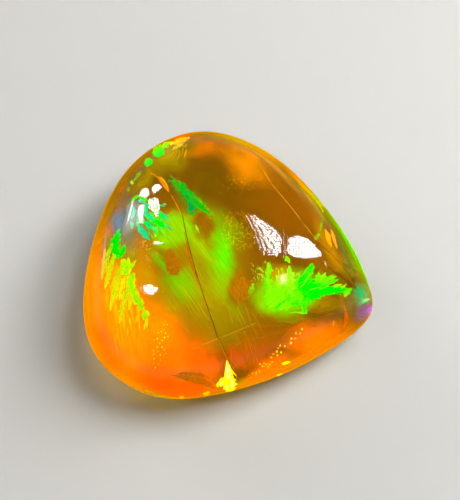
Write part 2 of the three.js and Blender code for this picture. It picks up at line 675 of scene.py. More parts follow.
def fireMaterial(name, glow):  # the play of colour's own pattern, with its diffracted light painted as a glow, brighter than its surroundings
    fire, tree, surface = newMaterial(name, {**fireLook["finish"], "Emission Strength": glow})
    grain = painted(tree, "grain", "Vector")
    lines = put(tree, "ShaderNodeTexNoise", {"Vector": grain, **fireLook["lines"]}).outputs[0]
    colour = scaled(tree, painted(tree, "fire"), ramp(tree, lines, *fireLook["lineEdges"]))
    wire(tree, surface, {"Base Color": colour, "Emission Color": colour})
    return fire


green = (0.0, 1.0, 0.0, 1.0)
deepGreen = (0.0, 0.5, 0.01, 1.0)
lime = (0.25, 1.0, 0.0, 1.0)
paleLime = (0.4, 0.9, 0.15, 1.0)
paleGreen = (0.12, 0.8, 0.0, 1.0)
yellow = (1.0, 0.66, 0.0, 1.0)
brightYellow = (1.0, 0.85, 0.0, 1.0)
warmWhite = (1.0, 0.95, 0.55, 1.0)
amber = (1.0, 0.38, 0.0, 1.0)
gold = (0.75, 0.42, 0.04, 1.0)
straw = (0.42, 0.26, 0.0, 1.0)
pollen = (0.5, 0.5, 0.0, 1.0)
ember = (0.8, 0.14, 0.0, 1.0)
copper = (0.7, 0.2, 0.0, 1.0)
sandGold = (0.6, 0.42, 0.3, 1.0)
teal = (0.0, 0.75, 0.95, 1.0)
cyan = (0.02, 0.8, 1.6, 1.0)
deepTeal = (0.0, 0.4, 0.5, 1.0)
lemon = (0.85, 1.0, 0.0, 1.0)
oliveGreen = (0.2, 0.42, 0.0, 1.0)
hollow = (0.36, 0.19, 0.0, 1.0)  # the stone's own brown, where the play of colour has a gap
smoke = (0.5, 0.2, 0.0, 1.0)
rust = (0.66, 0.16, 0.0, 1.0)

brightFire = fireMaterial("brightFire", 0.6)
dotFire = fireMaterial("dotFire", 1.7)
# lampFire paints the lamp's glints inside the stone as a bright glow
lampFire = fireMaterial("lampFire", 2.2)

# Torn plates: middle in picture pixels, reach in mm along and across the turn, turn in degrees, share of the
# way to the far side, grain in mm, raggedness, splinters, seed, and the colours of heart, fringe and flecks
flakes = {
    "rimDotLarge": ((158.5, 151), (0.8, 0.7), 40, 0.2, (0.35, 0.35), 0.45, 0.1, 1.3, (green, green, green)),
    "rimDotSmall": ((148.2, 162), (0.54, 0.5), 40, 0.2, (0.3, 0.3), 0.5, 0.1, 2.3, (green, green, green)),
    "rimDotTop": ((165.5, 144.5), (0.5, 0.3), 35, 0.2, (0.3, 0.2), 1.0, 0.5, 4.3, (lime, lime, green)),
    "rimDotLow": ((131.8, 182.5), (0.26, 0.32), 0, 0.2, (0.3, 0.3), 0.6, 0.2, 4.9,
        (lime, oliveGreen, oliveGreen)),
    "rimDotLowest": ((128.5, 189.5), (0.16, 0.28), 0, 0.2, (0.3, 0.3), 0.6, 0.2, 5.2,
        (oliveGreen, oliveGreen, lime)),
    "rimDotThin": ((136.6, 176), (0.12, 0.32), 0, 0.2, (0.3, 0.3), 0.6, 0.2, 5.6,
        (oliveGreen, oliveGreen, lime)),
    "rightFleck": ((317, 236.5), (0.5, 0.22), 50, 0.25, (0.3, 0.2), 0.8, 0.3, 5.8,
        (oliveGreen, oliveGreen, oliveGreen)),
    "upperBand": ((184, 191), (1.9, 0.5), -42, 0.25, (0.4, 0.2), 1.6, 0.8, 6.7,
        (deepGreen, deepGreen, deepTeal)),
    "upperBandEnd": ((201, 206), (2.0, 0.42), -42, 0.25, (0.4, 0.15), 1.6, 0.8, 6.9,
        (deepGreen, oliveGreen, deepGreen)),
    "upperBandTeal": ((191, 205), (1.2, 0.5), -75, 0.24, (0.3, 0.2), 1.5, 0.8, 7.7,
        (deepTeal, deepGreen, deepTeal)),
    "paleSliver": ((197, 228), (0.6, 0.14), -62, 0.3, (0.6, 0.2), 0.6, 0.4, 7.9, (lime, oliveGreen, lime)),
}

glints = {  # painted glints, where the crack's end and the lower rim catch the lamp
    "edgeGlint": ((286, 363), (0.6, 0.18), 15, 0.4, (0.5, 0.2), 0.6, 0.3, 32.1,
        (brightYellow, yellow, yellow)),
    "edgeGlintLow": ((280, 375), (0.45, 0.14), 10, 0.4, (0.5, 0.2), 0.6, 0.3, 33.1,
        (brightYellow, yellow, yellow)),
    "rimGlint": ((206.5, 393.6), (0.42, 0.24), 12, 0.5, (0.5, 0.2), 0.5, 0.3, 34.1, (amber, amber, amber)),
    "rimGlintLeft": ((182, 397), (0.3, 0.15), 5, 0.5, (0.5, 0.2), 0.5, 0.3, 35.1, (amber, amber, amber)),
}

brushes = {  # fans of slivers: as torn plates, then density per mm2, fan centre, stray, length and breadth
    "featherFrays": ((124, 306), (4.0, 2.0), 100, 0.15, (1.0, 0.4), 0.7, 0.6, 17, (lemon, yellow, yellow),
        1.2, (132, 170), 6, (0.6, 2.4), 0.12),
    "tealShards": ((153, 218), (2.2, 1.7), 80, 0.1, (0.5, 0.4), 0.6, 0.7, 14, (green, teal, lime), 9,
        (132, 190), 12, (0.3, 1.1), 0.15),
    "burstRays": ((318, 280), (2.0, 1.0), 20, 0.08, (1.0, 0.4), 0.6, 0.6, 15, (paleGreen, lime, oliveGreen),
        2.0, (290, 298), 8, (0.5, 1.6), 0.09),
    "burstCrown": ((279, 274), (2.6, 0.9), 5, 0.12, (0.8, 0.5), 0.7, 0.7, 16, (lime, paleLime, lime), 4,
        (282, 330), 12, (0.3, 1.1), 0.1),
    "lowRays": ((244, 356), (2.6, 1.3), 10, 0.5, (1.0, 0.4), 0.6, 0.6, 19, (copper, copper, ember), 3.5,
        (226, 270), 4, (0.6, 2.2), 0.04),
    "crownDust": ((262, 272), (1.6, 1.3), 0, 0.12, (0.3, 0.3), 1.0, 0.7, 27, (lime, paleLime, oliveGreen),
        6, (262, 330), 60, (0.1, 0.35), 0.1),
    "upperDust": ((238, 181), (1.8, 0.9), 0, 0.2, (0.3, 0.3), 1.0, 0.7, 28, (gold, straw, straw), 8,
        (238, 260), 80, (0.06, 0.18), 0.06),
    "goldDust": ((147, 252), (1.3, 2.0), 20, 0.12, (0.3, 0.3), 1.0, 0.7, 29, (sandGold, gold, straw), 8,
        (120, 250), 60, (0.06, 0.3), 0.08),
    "topHairs": ((176, 150), (1.6, 1.0), 60, 0.2, (1.0, 0.4), 0.6, 0.6, 20, (gold, gold, yellow), 4,
        (190, 120), 6, (0.6, 1.8), 0.05),
    "striations": ((243, 315), (3.8, 2.2), -60, 0.4, (1.0, 0.4), 0.6, 0.6, 24, (gold, straw, straw), 1.6,
        (190, 222), 3, (1.2, 3.6), 0.03),
    "striationsLow": ((200, 305), (3.8, 2.0), -55, 0.4, (1.0, 0.4), 0.6, 0.6, 25, (gold, straw, straw), 1.2,
        (150, 235), 3, (1.0, 3.2), 0.03),
}

dots = {  # clouds of pinpoints: middle, reach, turn, share, seed, then density per mm2, least gap, size
    "leftDots": ((160, 346), (3.7, 0.95), 76, 0.35, 21, 9, 0.36, (0.05, 0.09)),
    "rightDots": ((279, 352), (4.4, 0.5), 42, 0.35, 22, 8, 0.36, (0.07, 0.14)),
    "lowDots": ((259, 372), (1.6, 0.3), 25, 0.35, 24, 8, 0.32, (0.05, 0.08)),
    "upperDots": ((236, 182), (2.6, 1.5), 0, 0.3, 23, 3, 0.4, (0.02, 0.04)),
    # lampDots are painted specks of the lamp's light on the polish, beside its mirror image
    "lampDots": ((241, 230), (2.6, 2.6), 0, 0.03, 25, 14, 0.16, (0.02, 0.04)),
    "crackDots": ((213, 322), (2.6, 0.2), -70, 0.2, 26, 8, 0.3, (0.015, 0.03)),
}


# Plates drawn along lines: share, seed and fibres beside each line, then for each line its points with half
# widths, in picture pixels, its jag and its colours from the first point to the last and at the edges
strokes = {
    "feather": (0.07, 9, 5, (
        (((119.5, 228.5, 0.3), (117.6, 235, 2.6), (115.2, 242, 4.4), (115.2, 249, 4.6), (116.6, 255, 2.8),
         (117.2, 259, 0.5)), 0.4, (green, green, green)),
        (((124.6, 244.6, 0.3), (123.6, 249, 1.8), (121.5, 254, 2), (119.4, 257.5, 0.8)), 0.3,
         (green, green, green)),
        (((112.4, 243, 0.8), (109.4, 252, 1.7), (106.2, 262, 1.8), (103.6, 272, 1.5), (101.6, 280, 0.3)),
         0.4, (green, lemon, yellow)),
        (((114.6, 254, 1.4), (111.8, 263, 2.2), (109.2, 273, 2.5), (106.6, 282, 2.1), (104.8, 289.5, 0.5)),
         0.3, (lime, lemon, yellow)),
        (((121.8, 266, 1.4), (118.8, 275, 2.7), (115.8, 286, 3.2), (113.2, 296, 3), (111.2, 305, 1.6),
         (110, 311, 0.4)), 0.45, (lime, lemon, yellow)),
        (((122.5, 259, 1), (124.6, 264, 4.6), (125.8, 269.5, 4.8), (124.4, 275, 1.4)), 0.3,
         (lime, lime, lemon)),
        (((128.2, 257.6, 0.3), (128.3, 262, 1.4), (127.8, 267, 1.8)), 0.3, (lime, lime, lemon)),
        (((136, 260.2, 0.2), (133.2, 264, 1.5), (130.4, 267.5, 1.8), (128, 270, 1)), 0.3,
         (lime, lime, lemon)),
        (((125, 276, 0.8), (122, 285, 2), (119.8, 294, 1.6), (119, 300, 0.4)), 0.4, (lemon, lemon, yellow)),
        (((134.6, 273.2, 0.8), (131.2, 278.5, 4.2), (130.6, 286, 3.6), (135, 295.5, 4), (139.6, 303.5, 4.3),
         (142.5, 309.5, 1.4)), 0.4, (lime, lime, lemon)),
        (((128, 287, 0.8), (126.2, 295, 2.4), (123.6, 303, 2.6), (121.4, 312, 2), (119.4, 323.5, 0.4)),
         0.45, (lime, lemon, yellow)),
        (((132, 291, 0.8), (130.6, 300, 2), (128.6, 310, 0.5)), 0.4, (lime, lemon, yellow)),
        (((143, 309.5, 1.2), (144.8, 313.5, 3.2), (144.4, 317, 2.2), (143.4, 320, 0.5)), 0.3,
         (lime, lime, lemon)),
        (((147, 318, 0.8), (146.4, 323, 1.8), (144.6, 330, 0.4)), 0.3, (lemon, lemon, yellow)),
        (((139, 308, 0.5), (137.8, 315, 1.3), (135.6, 324, 0.3)), 0.4, (yellow, yellow, yellow)),
        (((105.4, 248, 0.2), (103.8, 258, 0.7), (102.2, 268, 0.7), (100.6, 279, 0.2)), 0.4,
         (yellow, yellow, yellow)),
    )),
    "burst": (0.09, 3, 3, (
        (((298.5, 288, 3), (303.5, 287, 6.4), (311, 286.2, 7.4), (317.5, 285.6, 5.6), (321.5, 285, 1)), 0.1,
         (green, green, green)),
        (((286, 288, 2), (293, 293, 8), (300, 297, 9), (306, 300.5, 6), (310, 304, 1)), 0.3,
         (lime, green, green)),
        (((298, 283, 1.5), (302, 279.3, 3), (306.5, 274.7, 3.6), (310.2, 269.4, 3.4), (312, 265.4, 2.2),
         (312.8, 263.6, 0.5)), 0.3, (green, green, paleGreen)),
        (((316, 284, 1), (318.6, 278, 2.6), (318.6, 272.5, 0.5)), 0.3, (green, lime, lime)),
        (((320, 282, 1), (323.6, 277, 2.4), (325.4, 272.6, 0.4)), 0.4, (lime, lime, lime)),
        (((317.5, 285.8, 1.6), (323.5, 281.8, 2.8), (330.4, 278.2, 2.4), (336.5, 276.6, 0.3)), 0.25,
         (green, lime, green)),
        (((319, 288.3, 1.2), (326, 284.8, 2), (332.6, 281.6, 1.8), (338.6, 279.6, 0.3)), 0.3,
         (green, green, lime)),
        (((303.5, 297, 3), (310, 294.8, 6), (319, 293, 4.6), (328, 290.8, 4.2), (335, 289.6, 3.8),
         (342, 289.6, 2.8), (347.5, 289.4, 0.8)), 0.3, (green, green, green)),
        (((334, 287, 1.2), (338, 285.4, 1.5), (342, 284, 0.4)), 0.5, (lime, lime, lime)),
        (((341, 288, 1.2), (344.4, 286, 1), (346.4, 283.5, 0.3)), 0.4, (lime, lime, oliveGreen)),
        (((352.3, 288.2, 0.3), (348.8, 291, 2.6), (346, 294, 2.4), (344.6, 297.3, 0.4)), 0.3,
         (green, lime, oliveGreen)),
        (((304, 300, 2.8), (303.8, 306, 2.8), (304.6, 311, 2.4), (305.3, 314, 1.2)), 0.35,
         (green, green, lime)),
        (((290, 313.2, 0.2), (297, 312, 0.6), (303, 313.2, 0.8), (307.5, 313.4, 0.4)), 0.3,
         (lime, lime, lime)),
        (((290, 297, 0.8), (281, 303.5, 1.4), (275.5, 308.2, 1.2), (272.2, 312, 0.2)), 0.3,
         (green, green, lime)),
        (((292, 302, 0.6), (286, 306, 1), (279, 311, 0.2)), 0.3, (green, lime, lime)),
        (((270.2, 291, 1.4), (269.2, 283, 3.4), (268.2, 275, 3.8), (268.4, 268, 2.6), (268.2, 262.4, 0.6)),
         0.5, (lime, lime, green)),
        (((265, 279, 0.8), (261.5, 275, 1), (256.5, 273.6, 0.3)), 0.5, (lime, paleLime, oliveGreen)),
        (((264.4, 272.4, 0.6), (260.4, 269, 0.8), (256, 268.6, 0.3)), 0.5, (paleLime, lime, oliveGreen)),
        (((290.6, 291, 2.4), (290.5, 282, 4), (289.4, 273.5, 2.8), (289, 265.5, 0.5)), 0.4,
         (lime, lime, paleLime)),
        (((279, 290, 1.6), (278.6, 282, 2.2), (277, 275, 0.5)), 0.5, (lime, paleLime, lime)),
        (((285.4, 256.6, 0.8), (287.5, 259.8, 2), (289.8, 263, 0.6)), 0.4, (green, lime, lime)),
        (((253.5, 283.6, 0.6), (251.8, 288, 2.6), (250.2, 292.5, 1.8), (250.4, 295.2, 0.3)), 0.4,
         (lime, oliveGreen, oliveGreen)),
    )),
    "shards": (0.06, 11, 2, (
        (((138, 225, 1), (140.8, 229.5, 2.7), (145, 234.4, 2.8), (149.6, 240, 0.6)), 0.3,
         (cyan, teal, teal)),
        (((144.3, 211.5, 0.5), (147.5, 214.8, 1.8), (152.5, 218.8, 1.4), (154.4, 220.6, 0.3)), 0.3,
         (teal, cyan, teal)),
        (((144.5, 221, 0.8), (148.8, 224.6, 1.8), (153, 229, 1)), 0.4, (teal, teal, green)),
        (((153.5, 219.6, 0.8), (158, 222.6, 2.4), (162.4, 225.4, 2.4), (165.3, 227.5, 0.6)), 0.4,
         (green, green, green)),
        (((151.6, 226, 0.5), (155.6, 230, 1.6), (157.8, 235, 0.4)), 0.5, (teal, green, lime)),
        (((131.5, 203, 0.5), (133.6, 198.6, 1.3), (138.6, 196.6, 1.5), (144.5, 199.6, 1.7),
         (148, 201, 0.7)), 0.5, (green, green, lime)),
        (((138, 200.5, 0.5), (141.5, 201.5, 1.3), (145.6, 203, 0.4)), 0.4, (cyan, teal, teal)),
        (((132.6, 206, 0.5), (133.8, 210, 1.6), (132.8, 215, 1.2), (131.4, 219, 0.4)), 0.4,
         (cyan, cyan, teal)),
        (((130.4, 221.6, 0.4), (132.2, 224.4, 1.5), (131.2, 228.5, 0.5)), 0.4, (cyan, teal, teal)),
        (((146, 203, 0.4), (146.6, 209, 1.2), (145.5, 216, 0.3)), 0.4, (teal, teal, cyan)),
        (((158.5, 211, 0.4), (161.5, 214, 1.2), (163.5, 218.5, 0.4)), 0.5, (teal, green, green)),
        (((160, 228, 0.4), (163.6, 232, 1), (166, 237, 0.3)), 0.5, (green, lime, lime)),
    )),
    "crackMouth": (0.06, 15, 0, (
        (((150.5, 171.8, 0.3), (155, 175, 0.6), (158.5, 177.5, 0.9), (161.5, 180.5, 2), (164.5, 184.5, 2.1),
         (167, 188.5, 1.2), (169, 191.5, 0.5)), 0.1, (ember, amber, gold)),
    )),
    "crackLens": (0.12, 20, 0, (
        (((186.4, 241, 0.3), (187.6, 246, 1.3), (190, 256, 1.8), (193.4, 268, 1.9), (197.8, 281, 1.3),
         (202.5, 292, 0.3)), 0.1, (hollow, smoke, hollow)),
    )),
    "loopSpecks": (0.1, 21, 1, (
        (((345, 311.5, 0.4), (346.2, 316.5, 1.6), (346, 322, 1.8), (343.6, 328.5, 0.4)), 0.5,
         (ember, copper, ember)),
        # a small painted glint
        (((334, 320.5, 0.3), (333.6, 323.5, 0.9), (333.2, 326, 0.3)), 0.3, (amber, gold, amber)),
    )),
    "tipShards": (0.12, 23, 1, (
        (((357.6, 287, 0.3), (360.4, 291, 1.5), (361.4, 296, 1.3), (360.6, 300, 0.3)), 0.4,
         (deepTeal, teal, deepTeal)),
        (((361.6, 303, 0.3), (364.6, 300.8, 1.1), (368, 299.4, 0.9), (370, 300, 0.2)), 0.5,
         (teal, paleLime, teal)),
    )),
    "sideWisps": (0.3, 22, 3, (
        (((305, 186, 0.3), (311, 193, 0.9), (317.6, 202, 1.1), (323.4, 212, 0.4)), 0.5,
         (straw, pollen, oliveGreen)),
        (((312, 189.6, 0.2), (318, 198, 0.6), (324, 208.6, 0.3)), 0.5, (gold, pollen, straw)),
    )),
    "crackLip": (0.04, 16, 0, (
        (((159.5, 176.5, 0.2), (163, 179.3, 0.5), (166.3, 184, 0.5), (168.8, 189.5, 0.2)), 0.1,
         (brightYellow, gold, gold)),
    )),
    "sideFlakes": (0.3, 14, 1, (
        (((325.4, 229.5, 0.4), (327.4, 235, 2), (329.4, 241, 1.8), (331.5, 246.5, 0.4)), 0.2,
         (gold, amber, amber)),
        (((331, 229.5, 0.3), (332.8, 235, 1.3), (335, 242, 1.2), (337.2, 248.5, 0.3)), 0.2,
         (gold, amber, amber)),
    )),
    # Torn gold and green beside the upper outline
    "rimPatch": (0.3, 17, 3, (
        (((170, 144.5, 0.6), (176, 141.8, 2.2), (183, 139, 2), (190, 137.4, 0.4)), 0.6,
         (brightYellow, amber, amber)),
        (((172, 150, 0.4), (178, 146, 1.3), (184.5, 143, 0.3)), 0.6, (gold, gold, lime)),
        (((164, 146.8, 0.5), (166.6, 145, 1.7), (169.4, 143.2, 1.2), (172, 141.8, 0.3)), 0.6,
         (paleGreen, lime, lime)),
        (((134, 180.4, 0.4), (138, 175.4, 1.2), (141.4, 171, 0.4)), 0.6, (lime, oliveGreen, oliveGreen)),
    )),
    # Gaps in the green field
    "hollows": (0.52, 18, 0, (
        (((169, 249, 0.8), (169.6, 252.5, 3.8), (170.6, 257, 5.6), (172, 263, 6.6), (173.6, 268.6, 7),
         (176, 272.4, 4.6), (178, 274.6, 0.8)), 0.12, (hollow, hollow, hollow)),
        (((242.5, 277, 1.5), (241.6, 283, 6), (241, 290, 8), (240.4, 297, 7.6), (240, 301, 4),
         (240, 302.5, 0.6)), 0.22, (hollow, hollow, hollow)),
    )),
    "wedge": (0.4, 19, 1, (
        (((171, 375.4, 0.3), (181, 377, 2.2), (190, 378.4, 3.8), (200, 381, 4), (209, 385, 2.6),
         (217, 389.4, 0.3)), 0.09, (smoke, rust, rust)),
        (((176, 374, 0.3), (186, 373.4, 2), (198, 374.6, 2.6), (207, 376.8, 1.4), (213, 378.6, 0.3)), 0.2,
         (smoke, rust, copper)),
    )),
}

flameStrokes = {  # a painted glint, where the crack's end catches the lamp
    "flame": (0.3, 30, 2, (
        (((226.8, 360.5, 0.3), (227.8, 366, 2.2), (228.6, 372, 3.6), (228.8, 378, 5.2), (229.4, 384, 6.4),
         (230.4, 389, 5.4), (231.4, 392, 1.6)), 0.25, (yellow, brightYellow, yellow)),
        (((226, 380.5, 2), (221.8, 382.6, 3), (218.8, 384.8, 2), (217, 387, 0.5)), 0.35,
         (brightYellow, yellow, yellow)),
    )),
    "flameCore": (0.26, 31, 0, (
        (((227, 362.5, 0.3), (227.6, 367, 1.8), (228.2, 372, 2.8), (228.4, 376.5, 2.4),
         (228.6, 379.5, 0.5)), 0.15, (warmWhite, warmWhite, brightYellow)),
        (((231.6, 379, 0.5), (232.4, 384, 1.3), (231.6, 388.5, 0.4)), 0.3,
         (warmWhite, warmWhite, warmWhite)),
        (((223, 381.8, 0.6), (221.5, 383.5, 1.2), (220, 385, 0.4)), 0.3, (warmWhite, warmWhite, warmWhite)),
        (((227.4, 384.5, 0.4), (227.2, 387.2, 1.1), (227.6, 389.8, 0.3)), 0.3,
         (warmWhite, warmWhite, warmWhite)),
    )),
}


hostMargin = 1.5  # a host sheet reaches this many times as far as its patch


def sized(pair):  # mm along and across a patch
    return Vector((pair[0] * mm, pair[1] * mm, 1.0))


def patchPlace(middle, reach, turn, seed, material):  # what every patch has
    return {
        "middle": middle, "reach": sized(reach), "turn": math.radians(turn), "seed": float(seed),
        "material": material,
    }


def patchValues(patch, material):
    middle, reach, turn, share, grain, raggedness, splinters, seed, colours = patch[:9]
    return {
        **patchPlace(inPlane(middle), reach, turn, seed, material), "grain": sized(grain),
        "raggedness": raggedness, "splinters": splinters, **dict(zip(("heart", "fringe", "fleck"), colours)),
    }


def hostSheet(name, patch, step):
    span = max(patch[1]) * hostMargin * mm
    return boxSheet(name, patch[0], (span, span), patch[3], step)


def insideStone(piece):  # everything inside moves with the stone
    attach(piece, "root")
    print(piece.name, len(piece.data.polygons), "faces")


# Soft glows: sheets whose colour and cover change smoothly

driftDetail = 4.0
leastCover = 0.0001  # keeps the share of a new colour finite where there is no cover yet


def glowTree():  # lays one soft patch of colour over what the sheet already carries
    tree, given = newTree("soft glow", {
        "middle reach": "Vector", "turn softness waver waverSize seed strength": "Float", "colour": "Color",
        "material": "Material",
    })
    spot = named(tree, "spot")
    drift = put(tree, "ShaderNodeTexNoise", {
        "Vector": spot, "W": given["seed"], "Scale": over(tree, 1.0, given["waverSize"]),
        "Detail": driftDetail,
    }, noise_dimensions="4D").outputs["Color"]
    shift = scaled(tree, vcalc(tree, "SUBTRACT", drift, (0.5, 0.5, 0.5)), given["waver"])
    offMiddle = vcalc(tree, "SUBTRACT", vcalc(tree, "ADD", spot, shift), given["middle"])
    flat = vcalc(tree, "MULTIPLY", levelled(tree, offMiddle, given["turn"]), (1.0, 1.0, 0.0))
    inside = minus(tree, 1.0, vcalc(tree, "LENGTH", vcalc(tree, "DIVIDE", flat, given["reach"])))
    added = times(tree, ramp(tree, inside, 0.0, given["softness"]), given["strength"])
    bare = times(tree, minus(tree, 1.0, named(tree, "cover", "FLOAT")), minus(tree, 1.0, added))
    cover = minus(tree, 1.0, bare)
    share = over(tree, added, calc(tree, "MAXIMUM", cover, leastCover))
    colour = blendColour(tree, share, named(tree, "fire", "FLOAT_COLOR"), given["colour"])
    return coveredEnd(tree, given, colour, cover)


def coveredEnd(tree, given, colour, cover):  # stores what glowMaterial reads, and ends the tree
    coloured = store(tree, given["Geometry"], "fire", colour, "FLOAT_COLOR")
    return endTree(tree, store(tree, coloured, "cover", cover, "FLOAT"), given["material"])


streakNoise = {"Scale": 1.0, "Detail": 3.0, "Roughness": 0.6}
ownColour = 0.6  # the share of its light's colour that a soft sheet has as its surface colour


def glowMaterial(name, glow, streaks=None):  # streaks: turn in degrees, length and width in mm, depth, blur
    soft, tree, surface = newMaterial(name, {**fireLook["finish"], "Emission Strength": glow})
    colour = painted(tree, "fire")
    cover = painted(tree, "cover", "Fac")
    if streaks:
        turn, long, wide, depth, blur = streaks
        level = turned(tree, painted(tree, "spot", "Vector"), math.radians(-turn))
        along = vcalc(tree, "DIVIDE", level, sized((long, wide)))
        lines = put(tree, "ShaderNodeTexNoise", {"Vector": along, **streakNoise}).outputs[0]
        cover = times(tree, cover, ramp(tree, lines, 0.5 - blur, 0.5 + blur, 1.0 - depth, 1.0))
    # The sheet glows: its colour is painted as light
    wire(tree, surface, {
        "Base Color": scaled(tree, colour, ownColour), "Emission Color": colour, "Alpha": cover,
    })
    return soft


